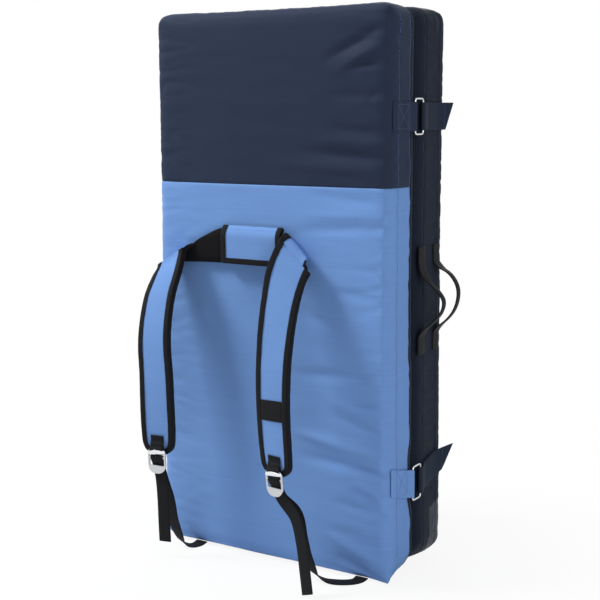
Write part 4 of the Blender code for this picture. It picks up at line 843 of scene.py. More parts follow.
    def draw_out(self, points: np.ndarray) -> np.ndarray:
        """Push the bulges out, fill the full edges and draw the cloth to a soft point at the corners."""
        for bulge in self.bulges:
            points[:, 0] += bulge.push(points)
        for edge in self.full_edges:
            points = edge.draw(points, upright=True)
        for ear in self.ears:
            points = ear.draw(points)
        return points

    def wrinkles(self, points: np.ndarray, low: Vector, high: Vector) -> np.ndarray:
        """Return how far the cloth stands off the foam at each point of a half between two corners."""
        face = low.y if self.face_sign < 0 else high.y
        on_face = smooth_step(np.abs(points[:, 1] - face), *self.rim)
        lift = sum(unevenness.at(points) for unevenness in self.surface)
        side = smooth_step(np.abs(points[:, 0]), *self.creased)
        for crease, share, power in self.creases:
            lift -= on_face * side**power * share * self.crease_depth * bell(crease.at(points), 1.0)
        for fold in self.folds:
            lift += on_face * fold.lift(points)
        return lift

    def build(self) -> None:
        """Make the cover and cut it into its panels, each on its body in place of its CAD node."""
        skin = self.even_skin()
        self.settle(skin)
        bm = self.cut_seams(skin)
        self.shape(bm)
        self.sew(BVHTree.FromBMesh(bm))
        owners = self.owners(bm)
        for index, (node, slot) in enumerate(self.panels.items()):
            part = bm.copy()
            part.faces.ensure_lookup_table()
            doomed = [face for face, owner in zip(part.faces, owners) if owner != index]
            bmesh.ops.delete(part, geom=doomed, context="FACES")
            piece = finished(f"{node}_cloth", part, self.finish_of(node, slot), thickness=self.cloth * self.panel_share)
            place(piece, self.body, node, slot)
        bm.free()

    def finish_of(self, node: str, slot: Slot) -> ClothFinish:
        """Return a panel's finish: gathered along the gussets, creased on the faces, with painted shade darkening the
        navy of the rear half and the landing panel.
        """
        if slot is Slot.PATCH:
            return FINISHES[slot]
        gathered = "gusset" in node
        # Painted shade: the rear half and the landing panel take the darker copies of the navy cloth.
        if self.body is Body.REAR or "landing" in node:
            return SHADED_NAVY_GATHERED if gathered else SHADED_NAVY_CREASED
        if slot is Slot.NAVY:
            return NAVY_GATHERED if gathered else NAVY_CREASED
        return BLUE_GATHERED if gathered else BLUE_CREASED

    def sew(self, skin: BVHTree) -> None:
        """Lay a row of stitches beside each seam, on the gusset of the finished cover."""
        low, high = self.span()
        middle = (low + high) / 2
        for name, seam, step in zip(("front", "back"), self.seams, (self.stitch_step, -self.stitch_step)):
            path = []
            for turn in range(self.sweep + 1):
                angle = 2 * math.pi * turn / self.sweep
                outward = Vector((math.cos(angle), 0.0, math.sin(angle)))
                start = Vector((middle.x, seam + step, middle.z)) + outward * (high.z - low.z) * 2
                hit, normal, _, _ = skin.ray_cast(start, -outward)
                if hit:
                    path.append((hit, normal))
            thread = THREADS["dark" if self.body is Body.REAR else "mid_blue"]
            Stitching(f"{self.prefix}_{name}_seam", self.body, thread).lay([path])

    def owners(self, bm: BMesh) -> list[int]:
        """Return for each face the index of the panel that it belongs to."""
        raise NotImplementedError


@dataclass
class CarryCover(SlabCover):
    """The cover of the half that carries the harness, navy above and light blue below."""

    def owners(self, bm: BMesh) -> list[int]:
        """Return for each face the index of its panel: face and gusset, upper and lower, or landing side."""
        owners = []
        for face in bm.faces:
            place = face.calc_center_median()
            if place.y > self.seams[1]:
                owners.append(4)
                continue
            upper = place.z > self.colour_seam
            owners.append((0 if upper else 1) if place.y < self.seams[0] else (2 if upper else 3))
        return owners


@dataclass
class RearCover(SlabCover):
    """The all-navy cover of the rear half, with a grey patch round each lower corner."""

    patch_depth: float = 0.048
    patch_width: float = 0.060
    patch_height: float = 0.098
    patch_slope: float = 0.28

    def owners(self, bm: BMesh) -> list[int]:
        """Return for each face the index of its panel: face, gusset, landing side or a corner patch."""
        high = self.span()[1]
        inner = high.y - self.patch_depth
        slope = Vector((0.0, -self.patch_slope, 1.0)).normalized()
        top = Vector((0.0, inner, self.patch_height))
        half = high.x - self.patch_width
        self.score(bm, Vector((0, inner, 0)), Vector((0, 1, 0)))
        self.score(bm, top, slope)
        for side in (-1, 1):
            self.score(bm, Vector((side * half, 0, 0)), Vector((1, 0, 0)))
        owners = []
        for face in bm.faces:
            place = face.calc_center_median()
            if place.y > inner and (place - top).dot(slope) < 0 and abs(place.x) > half:
                owners.append(3 if place.x < 0 else 4)
            elif place.y < self.seams[0]:
                owners.append(2)
            else:
                owners.append(0 if place.y > self.seams[1] else 1)
        return owners


def place(piece: Piece, body: Body, node: str | None = None, slot: Slot | None = None) -> Piece:
    """Put a piece on its body and in place of its CAD node, and return it."""
    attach(piece, body.value)
    if node:
        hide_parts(node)
    return piece


def span_joint(piece: Piece, node: str | None) -> None:
    """Put a piece that spans a joint in place of its CAD node, with its placement baked into its mesh."""
    if node:
        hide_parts(node)
    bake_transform(piece)


def refined(node: str, slot: Slot, levels: int = 2, crease: float = 0.9, bevel: float = 0.0) -> Piece:
    """Make a finer piece, not yet on a body, from a copy of a CAD node."""
    bm = mesh_of(node)
    crease_sharp(bm, crease)
    return finished(f"{node}_piece", bm, FINISHES[slot], levels, bevel)


def dressed(node: str, slot: Slot, body: Body, levels: int = 2, crease: float = 0.9) -> Piece:
    """Make a finer piece from a CAD node and put it on its body in the node's place."""
    return place(refined(node, slot, levels, crease), body, node, slot)


def recolour(node: str, slot: Slot) -> None:
    """Give a carried-over CAD node its finish."""
    materials = frame["nodes"][node].data.materials
    materials.clear()
    materials.append(FINISHES[slot].material())


def clip(bm: BMesh, spot: Vector, kept: Vector) -> None:
    """Cut a mesh off along a plane, keep the side that a direction points to, and close the cut."""
    bmesh.ops.bisect_plane(
        bm, geom=bm.verts[:] + bm.edges[:] + bm.faces[:], dist=WELD, plane_co=spot, plane_no=kept, clear_inner=True
    )
    bmesh.ops.holes_fill(bm, edges=[edge for edge in bm.edges if edge.is_boundary], sides=0)


def swell(piece: Piece, unevenness: Unevenness) -> None:
    """Add soft unevenness to a sewn piece."""
    points = points_of(piece)
    move_points(piece, points + normals_of(piece) * unevenness.at(points)[:, None])


@dataclass
class Stitching:
    """Rows of short stitches that lie on a cloth."""

    name: str
    body: Body
    finish: ClothFinish
    length: float = 0.0038
    pitch: float = 0.0047
    width: float = 0.0012
    height: float = 0.0010
    sides: int = 6
    rings: int = 4

    def lay(self, rows: list[list[tuple[Vector, Vector]]]) -> Piece:
        """Put stitches at even steps along rows of places with normals, as one piece on its body."""
        shape, outline = self.single()
        points: list[np.ndarray] = []
        faces: list[list[int]] = []
        for row in rows:
            travelled = self.pitch / 2
            for (place_a, normal), (place_b, _) in zip(row, row[1:]):
                travelled += (place_b - place_a).length
                if travelled >= self.pitch:
                    travelled -= self.pitch
                    base = len(points) * len(shape)
                    points.append(self.placed(shape, place_b, (place_b - place_a).normalized(), normal))
                    faces += [[base + corner for corner in face] for face in outline]
        mesh = bpy.data.meshes.new(self.name)
        mesh.from_pydata(np.concatenate(points).tolist(), [], faces)
        bm = bmesh.new()
        bm.from_mesh(mesh)
        bpy.data.meshes.remove(mesh)
        piece = finished(f"{self.name}_stitches", bm, self.finish)
        return place(piece, self.body)

    def single(self) -> tuple[np.ndarray, list[list[int]]]:
        """Make one stitch lying along x, and return its points as rows and each face's corners."""
        bm = bmesh.new()
        bmesh.ops.create_uvsphere(bm, u_segments=self.sides, v_segments=self.rings, radius=0.5)
        bmesh.ops.scale(bm, vec=(self.length, self.width, self.height), verts=bm.verts)
        shape = np.array([tuple(vert.co) for vert in bm.verts])
        outline = [[vert.index for vert in face.verts] for face in bm.faces]
        bm.free()
        return shape, outline

    @staticmethod
    def placed(shape: np.ndarray, spot: Vector, along: Vector, normal: Vector) -> np.ndarray:
        """Turn a stitch along its row, upright on the cloth, and put it in its place."""
        across = normal.cross(along).normalized()
        turn = np.array((tuple(along), tuple(across), tuple(normal)))
        return shape @ turn + np.array(spot)


def line_on(tree: BVHTree, start: Spot, end: Spot, toward: Vector) -> list[tuple[Vector, Vector]]:
    """Drop a straight line onto a cloth; return closely spaced places on it with their normals."""
    first, last = Vector(start), Vector(end)
    count = max(2, int((last - first).length / ROW_STEP))
    path = []
    for index in range(count + 1):
        spot = first.lerp(last, index / count) - toward * DROP_HEIGHT
        hit, normal, _, _ = tree.ray_cast(spot, toward)
        if hit:
            path.append((hit, normal))
    return path


def tree_of(piece: Piece) -> BVHTree:
    """Return a search tree over a piece's faces."""
    mesh = piece.data
    return BVHTree.FromPolygons([vert.co for vert in mesh.vertices], [face.vertices[:] for face in mesh.polygons])


@dataclass
class ShoulderStrap:
    """One padded shoulder strap with its buckle and webbing."""

    side: str
    strap: Body
    buckle: Body
    anchor: Spot
    cut: Spot
    lip: Spot
    fold: Spot
    fold_end: Spot
    axis: Spot
    gusset_rise: tuple[float, float] = (0.0, 0.0)
    gusset_height: float = 0.034
    gusset_span: tuple[float, float] = (-0.140, -0.085)
    binding_widths: tuple[float, float] = (0.0062, 0.0062)
    binding_thickness: float = 0.0007
    face_lap: float = 0.0014
    binding_lap: float = 0.0014
    lap_forward: float = 0.000252
    lap_start: float = 0.004
    lap_full: float = 0.0004
    face_swell: Unevenness = Unevenness(0.0009, (30.0, 30.0, 22.0), 1.7)
    binding_swell: Unevenness = Unevenness(0.0003, (160.0, 160.0, 90.0), 4.4)
    outer_end: int = 1
    turn_front: float = -0.0812
    turn_rise: float = 0.0125
    rise_kept: float = 1.0
    outer_pull: float = 0.0
    sewn_pull: float = 0.0
    sewn_drop: float = 0.90
    sewn_reach: float = 0.040
    turn_reach: float = 0.034
    outer_depth: float = 1.0
    foot_pull: float = 0.6
    crown_width: float = 0.0360
    crown_shift: float = 0.0025
    crown_slope: float = 0.09
    crown_height: float = 0.0072
    crown_wall: float = 0.0014
    crown_top: float = 0.0030
    crown_stand: float = 0.0042
    crown_reach: float = 0.0046
    crown_sink: float = 0.0008
    crown_edge: float = 0.0004
    crown_cuts: int = 14
    crown_droop: float = 0.35
    crown_power: int = 6

    def build(self) -> None:
        """Make every piece of the strap."""
        self.padded_layers()
        self.top_fold()
        self.hardware()
        self.webbing()

    def padded_layers(self) -> None:
        """Make the face, the padding, the mesh back and the binding, which run across the fold."""
        for part, slot, levels in (
            ("face", Slot.BLUE, 2), ("padding", Slot.SOFT_FOAM, 1), ("mesh", Slot.MESH, 2), ("binding", Slot.BINDING, 2)
        ):
            node = f"{self.side}_strap_{part}"
            piece = refined(node, slot, levels, crease=0.7)
            if part == "face":
                self.lap_over(piece, self.face_lap)
                swell(piece, self.face_swell)
            if part == "binding":
                self.lap_over(piece, self.binding_lap)
                swell(piece, self.binding_swell)
            span_joint(piece, node)

    def lap_over(self, piece: Piece, lap: float) -> None:
        """Carry a layer's top end on over the turn by a lap, so that no gap shows at the swing's axis."""
        points = points_of(piece)
        upward = np.array(self.upward())
        height = points @ upward
        near = smooth_step(height, height.max() - self.lap_start, height.max() - self.lap_full)
        points += near[:, None] * (upward * lap + np.array((0.0, -self.lap_forward, 0.0)))
        move_points(piece, points)

    def top_fold(self) -> None:
        """Make the sewn end under the yoke, and the bound turn where the band folds over."""
        for part, slot, shape in (("sewn_end", Slot.MESH, self.shape_end), ("fold", Slot.BLUE, self.tuck)):
            piece = dressed(f"{self.side}_strap_{part}", slot, Body.CARRY, crease=0.6)
            shape(piece)
        for end, width in zip((1, -1), self.binding_widths):
            self.turned_binding(end, width)

    def tuck(self, piece: Piece) -> None:
        """Flatten the turn and draw its outer end in, so that it ends at the strap's binding."""
        points = points_of(piece)
        outward = np.array(self.axis) * self.outer_end
        upward = np.array(self.upward())
        turn = frame["nodes"][f"{self.side}_strap_fold"].data.vertices
        tip = max(vert.co.dot(Vector(outward)) for vert in turn)
        foot = min(vert.co.dot(Vector(upward)) for vert in turn)
        near = smooth_step(points @ outward, tip - self.turn_reach, tip)
        rise = np.clip(points @ upward - foot, 0.0, None)
        depth = np.clip(points[:, 1] - self.turn_front, 0.0, None)
        share = self.foot_pull + (1.0 - self.foot_pull) * np.clip(rise / self.turn_rise, 0.0, 1.0)
        pull = near * share * self.outer_pull
        points -= outward * pull[:, None]
        points += upward * (rise * (self.rise_kept - 1.0))[:, None]
        points[:, 1] -= depth * near * (1.0 - self.outer_depth)
        move_points(piece, points)

    def upward(self) -> Vector:
        """Return the direction that runs up the strap, across its swing axis."""
        upward = Vector((0, -1, 0)).cross(Vector(self.axis))
        return upward if upward.z > 0 else -upward

    def shape_end(self, piece: Piece) -> None:
        """Draw the sewn end's outer corner in behind the turn, and its top edge up to the yoke's corner."""
        points = points_of(piece)
        outward = np.array(self.axis) * self.outer_end
        inward = -outward - self.sewn_drop * np.array(self.upward())
        reach = points @ outward
        near = smooth_step(reach, reach.max() - self.sewn_reach, reach.max())
        points += inward * (near * self.sewn_pull)[:, None]
        near = smooth_step(points[:, 0], *self.gusset_span)
        upper = smooth_step(points[:, 2], self.fold[2], self.fold[2] + self.gusset_height)
        points[:, 2] += upper * (self.gusset_rise[0] + self.gusset_rise[1] * near)
        move_points(piece, points)

    def turned_binding(self, end: int, width: float) -> None:
        """Carry the binding on over one end of the turn, 1 or -1 along its axis, in to a width."""
        bm = mesh_of(f"{self.side}_strap_fold")
        along = Vector(self.axis) * end
        tip = max(vert.co.dot(along) for vert in bm.verts)
        clip(bm, along * (tip - width), along)
        bm.normal_update()
        for vert in bm.verts:
            vert.co += vert.normal * self.binding_thickness
        crease_sharp(bm, 1.0)
        side = "near" if end > 0 else "far"
        piece = finished(f"{self.side}_turned_binding_{side}", bm, FINISHES[Slot.BINDING], 2)
        self.tuck(piece)
        place(piece, Body.CARRY, slot=Slot.BINDING)

    def hardware(self) -> None:
        """Make the buckle and the tab that holds it."""
        dressed(f"{self.side}_buckle_tab", Slot.WEBBING, self.strap)
        recolour(f"{self.side}_buckle", Slot.BUCKLE)
        self.crown()

    def crown(self) -> None:
        """Make the arched top rim of the buckle, which stands in front of the tab, in a lighter copy of the buckle's
        metal as a painted highlight.
        """
        joint = next(item for item in frame["joints"] if item["name"] == f"{self.side}_buckle_tilt")
        across = -Vector(joint["axis"]).normalized()
        front = Vector((0.0, -1.0, 0.0))
        front = (front - across * front.dot(across)).normalized()
        upward = front.cross(across)
        if upward.z < 0:
            upward = -upward
        bm = bmesh.new()
        bmesh.ops.create_cube(bm, size=1.0)
        bmesh.ops.scale(bm, vec=(self.crown_width, self.crown_wall, self.crown_height), verts=bm.verts)
        long_edges = [edge for edge in bm.edges if abs((edge.verts[0].co - edge.verts[1].co).x) > self.crown_wall]
        bmesh.ops.subdivide_edges(bm, edges=long_edges, cuts=self.crown_cuts, use_grid_fill=True)
        middle = Vector(joint["pos_m"])
        for vert in bm.verts:
            share = abs(2 * vert.co.x / self.crown_width)
            drop = self.crown_top * share**2 * (1.0 if vert.co.z > 0 else self.crown_droop)
            out = self.crown_stand + self.crown_reach * (1.0 - share**self.crown_power)
            rise = vert.co.z - drop + self.crown_slope * vert.co.x - self.crown_sink
            slide = vert.co.x + self.crown_shift
            vert.co = middle + across * slide + front * (out - vert.co.y) + upward * rise
        bmesh.ops.recalc_face_normals(bm, faces=bm.faces)
        piece = finished(f"{self.side}_buckle_crown", bm, RIM_METAL_PAINTED_HIGHLIGHT, 1, bevel=self.crown_edge)
        place(piece, self.buckle, slot=Slot.BUCKLE)

    def webbing(self) -> None:
        """Make the hanging tail, and the run in two lengths, cut apart at the strap."""
        dressed(f"{self.side}_webbing_tail", Slot.WEBBING, self.buckle)
        run = f"{self.side}_webbing_run"
        for part, node, kept, bodies, ends in (
            ("upper", run, 1, (self.strap, self.buckle), (self.cut, self.lip)),
            ("lower", None, -1, (Body.CARRY, self.strap), (self.anchor, self.cut)),
        ):
            bm = mesh_of(run)
            clip(bm, Vector(self.cut), Vector((0, 0, kept)))
            crease_sharp(bm, 0.9)
            piece = finished(f"{run}_{part}", bm, FINISHES[Slot.WEBBING], 2)
            span_joint(piece, node)


@dataclass
class Yoke:
    """The padded patch that covers the tops of the shoulder straps."""

    face_swell: Unevenness = Unevenness(0.0011, (95.0, 30.0, 12.0), 2.2)
    hem_depth: float = 0.0065
    hem_end: float = 0.006

    def build(self) -> None:
        """Make the yoke's face, padding, back and binding."""
        for part, slot in (
            ("face", Slot.BLUE), ("padding", Slot.SOFT_FOAM), ("back", Slot.MESH), ("binding", Slot.BINDING)
        ):
            node = f"yoke_{part}"
            piece = refined(node, slot, 3 if part == "face" else 2, crease=0.8)
            if part == "face":
                swell(piece, self.face_swell)
                self.hem(piece)
            place(piece, Body.CARRY, node, slot)

    def hem(self, face: Piece) -> None:
        """Stitch the yoke's face down along its top edge."""
        low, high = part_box("yoke_face")
        height = high.z - self.hem_depth
        start, end = (low.x + self.hem_end, 0.0, height), (high.x - self.hem_end, 0.0, height)
        row = line_on(tree_of(face), start, end, Vector((0, 1, 0)))
        Stitching("yoke_hem", Body.CARRY, THREADS["yoke"], width=0.0008, height=0.0006).lay([row])


@dataclass
class Closures:
    """The tabs, rings and straps that hold the two halves together."""

    above: float = 0.02
    from_front: float = 0.0135
    from_edge: float = 0.0045
    box_width: float = 0.036
    lower_lean: float = 0.010
    hem_inset: float = 0.020
    hem_end: float = 0.003

    def build(self) -> None:
        """Make both closures."""
        for name, slot, ring in (("upper", Slot.NAVY, Body.UPPER_RING), ("lower", Slot.BLUE, Body.LOWER_RING)):
            self.box_and_cross(dressed(f"{name}_ring_tab", slot, Body.CARRY), name)
            dressed(f"{name}_closure_ring", Slot.RING, ring, crease=0.0)
            self.free_end_hem(dressed(f"{name}_closure_strap", Slot.CLOSURE, Body.REAR), name)

    def free_end_hem(self, webbing: Piece, name: str) -> None:
        """Stitch the turned end of the upper or the lower closure strap."""
        low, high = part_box(f"{name}_closure_strap")
        far, across = high.x + self.above, high.y - self.hem_inset
        start, end = (far, across, low.z + self.hem_end), (far, across, high.z - self.hem_end)
        row = line_on(tree_of(webbing), start, end, Vector((-1, 0, 0)))
        Stitching(f"{name}_strap_hem", Body.REAR, THREADS["tab"], width=0.0008).lay([row])

    def box_and_cross(self, cloth: Piece, name: str) -> None:
        """Sew the upper or the lower tab down with a square and a cross."""
        low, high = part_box(f"{name}_ring_tab")
        far = high.x + self.above
        front, back = low.y + self.from_front, low.y + self.from_front + self.box_width
        bottom, top = low.z + self.from_edge, high.z - self.from_edge
        if name == "lower":
            bottom += self.lower_lean
        corners = [(far, front, bottom), (far, back, bottom), (far, back, top), (far, front, top)]
        pairs = [(0, 1), (1, 2), (2, 3), (3, 0), (0, 2), (1, 3)]
        tree = tree_of(cloth)
        rows = [line_on(tree, corners[start], corners[end], Vector((-1, 0, 0))) for start, end in pairs]
        thread = THREADS["tab" if name == "upper" else "blue_tab"]
        Stitching(f"{name}_tab", Body.CARRY, thread, pitch=0.0038, length=0.0030, width=0.0009).lay(rows)


@dataclass
class SideHandles:
    """The two webbing handles on the rear half."""

    grip_start: float = 0.2535
    grip_full: float = 0.2680
    grip_share: float = 0.55

    def build(self) -> None:
        """Make both handles, each folded narrower where the hand holds it."""
        for name in ("inner_side_handle", "outer_side_handle"):
            piece = refined(name, Slot.WEBBING, 2)
            points = points_of(piece)
            middle = (points[:, 1].min() + points[:, 1].max()) / 2
            folded = smooth_step(points[:, 0], self.grip_start, self.grip_full)
            points[:, 1] = middle + (points[:, 1] - middle) * (1.0 - (1.0 - self.grip_share) * folded)
            move_points(piece, points)
            place(piece, Body.REAR, name, Slot.WEBBING)


@dataclass
class Insides:
    """The foam blocks, the zips and the fold hinge."""

    inset: Spot = (0.0110, 0.0085, 0.0110)
    hinge_start: Spot = (-0.2536, 0.0425, 0.5)
    hinge_end: Spot = (-0.2536, 0.0578, 0.5)
    block_edge: float = 0.0006

    def draw_in(self, piece: Piece, half: str) -> None:
        """Draw a foam layer in toward the middle of its half's stack, so that it stays under the wrinkled cover."""
        boxes = [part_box(f"{half}_{layer}_foam") for layer in ("base", "core", "landing")]
        low = np.min([tuple(box[0]) for box in boxes], axis=0)
        high = np.max([tuple(box[1]) for box in boxes], axis=0)
        middle = (low + high) / 2
        share = 1.0 - 2 * np.array(self.inset) / (high - low)
        move_points(piece, middle + (points_of(piece) - middle) * share)

    def build(self) -> None:
        """Make the foam, the zips and the hinge strip."""
        for half, body in (("carry", Body.CARRY), ("rear", Body.REAR)):
            for layer, slot in (("base", Slot.FIRM_FOAM), ("core", Slot.SOFT_FOAM), ("landing", Slot.FIRM_FOAM)):
                node = f"{half}_{layer}_foam"
                piece = place(refined(node, slot, 0, bevel=self.block_edge), body, node, slot)
                self.draw_in(piece, half)
            dressed(f"{half}_zip", Slot.ZIP, body, levels=1)
            recolour(f"{half}_zip_slider", Slot.SLIDER)
        strip = refined("fold_hinge_strip", Slot.NAVY)
        span_joint(strip, "fold_hinge_strip")


LAMPS = (
    ("key", (-1.9, -1.0, 2.75), 0.8, 97.0),
    ("fill", (2.1, -0.9, 1.3), 1.3, 18.5),
    ("top", (0.0, 0.2, 3.2), 2.0, 14.0),
    ("back", (-1.2, 2.8, 2.0), 2.0, 34.0),
)


@dataclass
class Studio:
    """The camera, the lamps, the floor and the white surround."""

    azimuth: float = 32.068
    elevation: float = 6.896
    roll: float = -0.221
    focal_pixels: float = 1210.41
    eye: Spot = (1.1886, -1.8358, 0.8190)
    rise_pixels: float = 42.0
    sensor: float = 36.0
    lamp_aim: float = 0.5
    floor_half: float = 12.0
    floor_drop: float = 0.0003
    floor_grey: float = 0.85
    floor_roughness: float = 0.9
    floor_gloss: float = 0.1
    fade_start: float = 0.2
    fade_end: float = 0.9
    fade_least: float = 0.89
    sky_tint: tuple[float, ...] = (0.88, 0.95, 1.10, 1.0)
    sky_light: float = 0.20

    def build(self) -> None:
        """Make the whole studio."""
        self.camera()
        self.lamps()
        self.floor()
        self.surround()
        bpy.context.scene.view_settings.view_transform = "Standard"

    def camera(self) -> None:
        """Put the camera where the photograph was taken from."""
        turn, tilt, roll = (math.radians(angle) for angle in (self.azimuth, self.elevation, self.roll))
        back = Vector((math.sin(turn) * math.cos(tilt), -math.cos(turn) * math.cos(tilt), math.sin(tilt)))
        right = Vector((math.cos(turn), math.sin(turn), 0.0))
        up = back.cross(right)
        across = right * math.cos(roll) + up * math.sin(roll)
        upwards = up * math.cos(roll) - right * math.sin(roll)
        data = bpy.data.cameras.new("photo_camera")
        data.sensor_width = self.sensor
        data.lens = self.focal_pixels * self.sensor / IMAGE_PIXELS
        data.shift_y = -self.rise_pixels / IMAGE_PIXELS
        camera = bpy.data.objects.new("photo_camera", data)
        camera.matrix_world = Matrix((
            (across.x, upwards.x, back.x, self.eye[0]),
            (across.y, upwards.y, back.y, self.eye[1]),
            (across.z, upwards.z, back.z, self.eye[2]),
            (0.0, 0.0, 0.0, 1.0),
        ))
        bpy.context.scene.collection.objects.link(camera)
        bpy.context.scene.camera = camera

    def lamps(self) -> None:
        """Hang the soft lamps."""
        for name, spot, size, power in LAMPS:
            data = bpy.data.lights.new(name, "AREA")
            data.energy = power
            data.size = size
            lamp = bpy.data.objects.new(name, data)
            lamp.location = spot
            aim = Vector((0.0, 0.0, self.lamp_aim)) - Vector(spot)
            lamp.rotation_euler = aim.to_track_quat("-Z", "Y").to_euler()
            bpy.context.scene.collection.objects.link(lamp)

    def floor(self) -> None:
        """Lay a plain pale floor that fades to the white of the surround."""
        bm = bmesh.new()
        bmesh.ops.create_grid(bm, x_segments=2, y_segments=2, size=self.floor_half)
        bmesh.ops.translate(bm, vec=(0.0, 0.0, -self.floor_drop), verts=bm.verts)
        floor = new_piece("studio_floor", bm)
        material, bench, shader = new_material("studio_floor_paper")
        shader.inputs["Base Color"].default_value = (self.floor_grey,) * 3 + (1.0,)
        shader.inputs["Roughness"].default_value = self.floor_roughness
        shader.inputs["Specular IOR Level"].default_value = self.floor_gloss
        glow = bench.add("ShaderNodeEmission", in_Color=WHITE)
        away = bench.add("ShaderNodeVectorMath", operation="LENGTH")
        bench.join(bench.add("ShaderNodeTexCoord").outputs["Object"], away.inputs[0])
        ends = {"From_Min": self.fade_start, "From_Max": self.fade_end, "To_Min": self.fade_least}
        fade = bench.ranged(away.outputs["Value"], "SMOOTHSTEP", **ends)
        surface = material.node_tree.nodes["Material Output"].inputs["Surface"]
        bench.mixed(bench.math("MULTIPLY", bench.seen(), fade), shader, glow, surface)
        floor.data.materials.append(material)

    def surround(self) -> None:
        """Make the world white where it is seen and soft where it lights."""
        world = bpy.data.worlds.new("studio_surround")
        bpy.context.scene.world = world
        world.use_nodes = True
        bench = NodeBench(world.node_tree)
        soft = world.node_tree.nodes["Background"]
        soft.inputs["Color"].default_value = self.sky_tint
        soft.inputs["Strength"].default_value = self.sky_light
        white = bench.add("ShaderNodeBackground", in_Color=WHITE, in_Strength=1.0)
        bench.mixed(bench.seen(), soft, white, world.node_tree.nodes["World Output"].inputs["Surface"])


CARRY_FOLDS = (
    Fold((0.225, 0.955), (0.120, 0.905), 0.009, -0.0030),
    Fold((0.232, 0.930), (0.140, 0.885), 0.008, 0.0024),
    Fold((0.240, 0.905), (0.150, 0.890), 0.007, -0.0018),
    Fold((0.246, 0.845), (0.130, 0.848), 0.008, -0.0014),
    Fold((0.246, 0.780), (0.130, 0.792), 0.007, -0.0018),
    Fold((0.246, 0.760), (0.090, 0.770), 0.008, 0.0020),
    Fold((0.246, 0.740), (0.070, 0.750), 0.008, -0.0028),
    Fold((0.246, 0.718), (0.020, 0.727), 0.009, 0.0018),
    Fold((0.240, 0.664), (0.090, 0.676), 0.008, -0.0020),
    Fold((0.240, 0.645), (0.070, 0.640), 0.008, 0.0014),
    Fold((0.240, 0.625), (0.060, 0.611), 0.009, -0.0020),
    Fold((0.225, 0.500), (0.110, 0.512), 0.008, -0.0018),
    Fold((0.140, 0.440), (0.070, 0.475), 0.010, -0.0018),
    Fold((0.235, 0.365), (0.060, 0.357), 0.011, -0.0024),
    Fold((0.238, 0.313), (0.165, 0.314), 0.008, -0.0018),
    Fold((0.240, 0.290), (0.120, 0.318), 0.008, 0.0016),
    Fold((0.235, 0.265), (0.140, 0.290), 0.008, -0.0026),
    Fold((0.246, 0.222), (0.060, 0.252), 0.009, 0.0036),
    Fold((0.246, 0.202), (0.070, 0.210), 0.010, -0.0034),
    Fold((0.250, 0.150), (0.170, 0.180), 0.008, 0.0026),
    Fold((0.248, 0.122), (0.140, 0.136), 0.008, -0.0022),
    Fold((0.246, 0.090), (0.120, 0.100), 0.010, 0.0014),
    Fold((0.242, 0.034), (0.120, 0.076), 0.011, 0.0032),
    Fold((0.222, 0.012), (0.140, 0.036), 0.010, -0.0036),
    Fold((0.2285, 0.010), (0.2320, 0.680), 0.005, 0.0010),
)


CARRY_EARS = (
    Ear((0.2490, -0.0500, 0.0004), 0.044, 0.64),
    Ear((0.2505, -0.0515, 0.0000), 0.022, 0.74),
    Ear((-0.2480, -0.0490, 0.0010), 0.034, 0.40),
    Ear((0.2480, -0.0480, 0.9985), 0.026, 0.35),
    Ear((-0.2470, -0.0480, 0.9965), 0.030, 0.35),
)


CARRY_BULGES = (
    Bulge(0.023, 0.020, 0.018, 0.136, 0.0045),
    Bulge(0.023, 0.018, 0.212, 0.400, 0.0036),
    Bulge(0.023, 0.018, 0.380, 0.780, 0.0020),
)


REAR_FOLDS = (
    Fold((0.236, 0.930), (0.120, 0.890), 0.010, -0.0024),
    Fold((-0.236, 0.925), (-0.130, 0.880), 0.010, -0.0022),
    Fold((-0.240, 0.620), (-0.110, 0.635), 0.010, 0.0020),
    Fold((0.240, 0.560), (0.090, 0.545), 0.011, -0.0020),
    Fold((0.200, 0.330), (0.020, 0.350), 0.014, 0.0018),
    Fold((-0.220, 0.300), (-0.060, 0.280), 0.013, -0.0020),
    Fold((-0.236, 0.130), (-0.140, 0.180), 0.010, 0.0024),
    Fold((0.236, 0.150), (0.130, 0.200), 0.010, 0.0022),
)
REAR_EARS = (
    Ear((0.2490, 0.1495, 0.0010), 0.040, 0.10),
    Ear((-0.2480, 0.1495, 0.0010), 0.040, 0.25),
    Ear((0.2450, 0.0510, 0.0020), 0.040, -0.45),
    Ear((0.2000, 0.0520, 0.0000), 0.040, -0.20),
    Ear((0.2480, 0.1495, 0.9980), 0.026, 0.45),
    Ear((-0.2480, 0.1495, 0.9980), 0.026, 0.45),
)
REAR_EDGES = (
    Ear((0.2530, 0.1535, 0.0), 0.026, 0.80),
    Ear((-0.2500, 0.1520, 0.0), 0.026, 0.50),
)


def seams_of(gusset: str) -> list[float]:
    """Return the places in y of the two seams beside a gusset."""
    return [corner.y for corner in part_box(gusset)]


def carry_cover() -> CarryCover:
    """Lay out the carry half's cover from its CAD panels."""
    panels = {
        "carry_face_panel_upper": Slot.NAVY,
        "carry_face_panel_lower": Slot.BLUE,
        "carry_gusset_upper": Slot.NAVY,
        "carry_gusset_lower": Slot.BLUE,
        "carry_landing_panel": Slot.NAVY,
    }
    return CarryCover(
        "carry", Body.CARRY, panels, -1.0, CARRY_FOLDS, CARRY_EARS, bulges=CARRY_BULGES,
        seams=seams_of("carry_gusset_lower"), colour_seam=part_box("carry_gusset_upper")[0].z,
    )


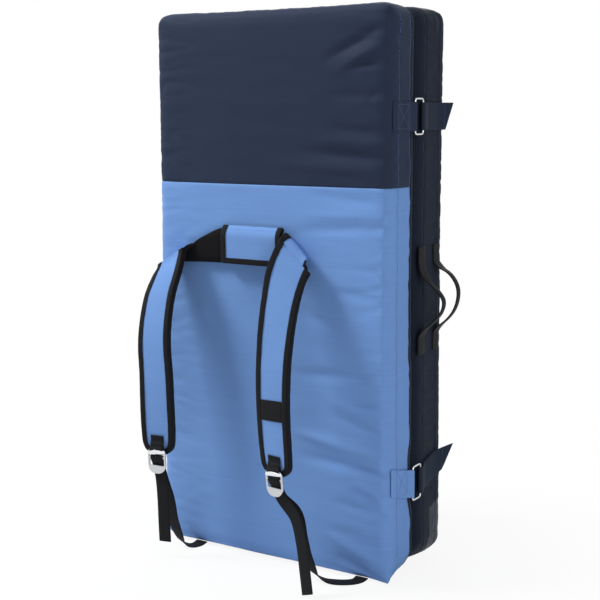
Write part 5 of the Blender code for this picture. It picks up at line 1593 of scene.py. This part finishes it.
def rear_cover() -> RearCover:
    """Lay out the rear half's cover from its CAD panels."""
    panels = {
        "rear_face_panel": Slot.NAVY,
        "rear_gusset": Slot.NAVY,
        "rear_landing_panel": Slot.NAVY,
        "rear_corner_patch_left": Slot.PATCH,
        "rear_corner_patch_right": Slot.PATCH,
    }
    return RearCover(
        "rear", Body.REAR, panels, 1.0, REAR_FOLDS, REAR_EARS, REAR_EDGES, seams=seams_of("rear_gusset")
    )


def right_strap() -> ShoulderStrap:
    """Lay out the right shoulder strap."""
    return ShoulderStrap(
        "right", Body.RIGHT_STRAP, Body.RIGHT_BUCKLE,
        anchor=(0.16, -0.10, 0.01), cut=(0.108, -0.130, 0.105), lip=(0.080, -0.137, 0.170),
        fold=(0.073, -0.085, 0.566), fold_end=(0.068, -0.110, 0.52), axis=(-0.73365, 0.0, 0.679528),
        binding_widths=(0.0150, 0.0085), outer_end=-1, outer_pull=0.0165, outer_depth=0.1, binding_lap=0.0034,
        sewn_pull=0.0085,
    )


def left_strap() -> ShoulderStrap:
    """Lay out the left shoulder strap."""
    return ShoulderStrap(
        "left", Body.LEFT_STRAP, Body.LEFT_BUCKLE,
        anchor=(-0.165, -0.08, 0.01), cut=(-0.181, -0.125, 0.105), lip=(-0.185, -0.137, 0.170),
        fold=(-0.190, -0.085, 0.552), fold_end=(-0.200, -0.110, 0.51), axis=(-0.854199, 0.0, -0.519947),
        gusset_rise=(0.007, 0.0075), binding_widths=(0.0062, 0.0235), rise_kept=0.35,
    )


def band() -> None:
    """Make the bare fabric band across the right strap."""
    dressed("right_strap_band", Slot.WEBBING, Body.RIGHT_STRAP)


def main() -> None:
    """Make every piece, then the studio."""
    logging.basicConfig(level=logging.INFO, format="%(name)s: %(message)s")
    steps = (
        ("studio", Studio().build),
        ("carry half's cover", carry_cover().build),
        ("rear half's cover", rear_cover().build),
        ("yoke", Yoke().build),
        ("left shoulder strap", left_strap().build),
        ("right shoulder strap", right_strap().build),
        ("bare band", band),
        ("closures", Closures().build),
        ("side handles", SideHandles().build),
        ("foam, zips and hinge", Insides().build),
    )
    for label, build in steps:
        build()
        LOG.info("finished the %s", label)


if __name__ == "__main__":
    main()
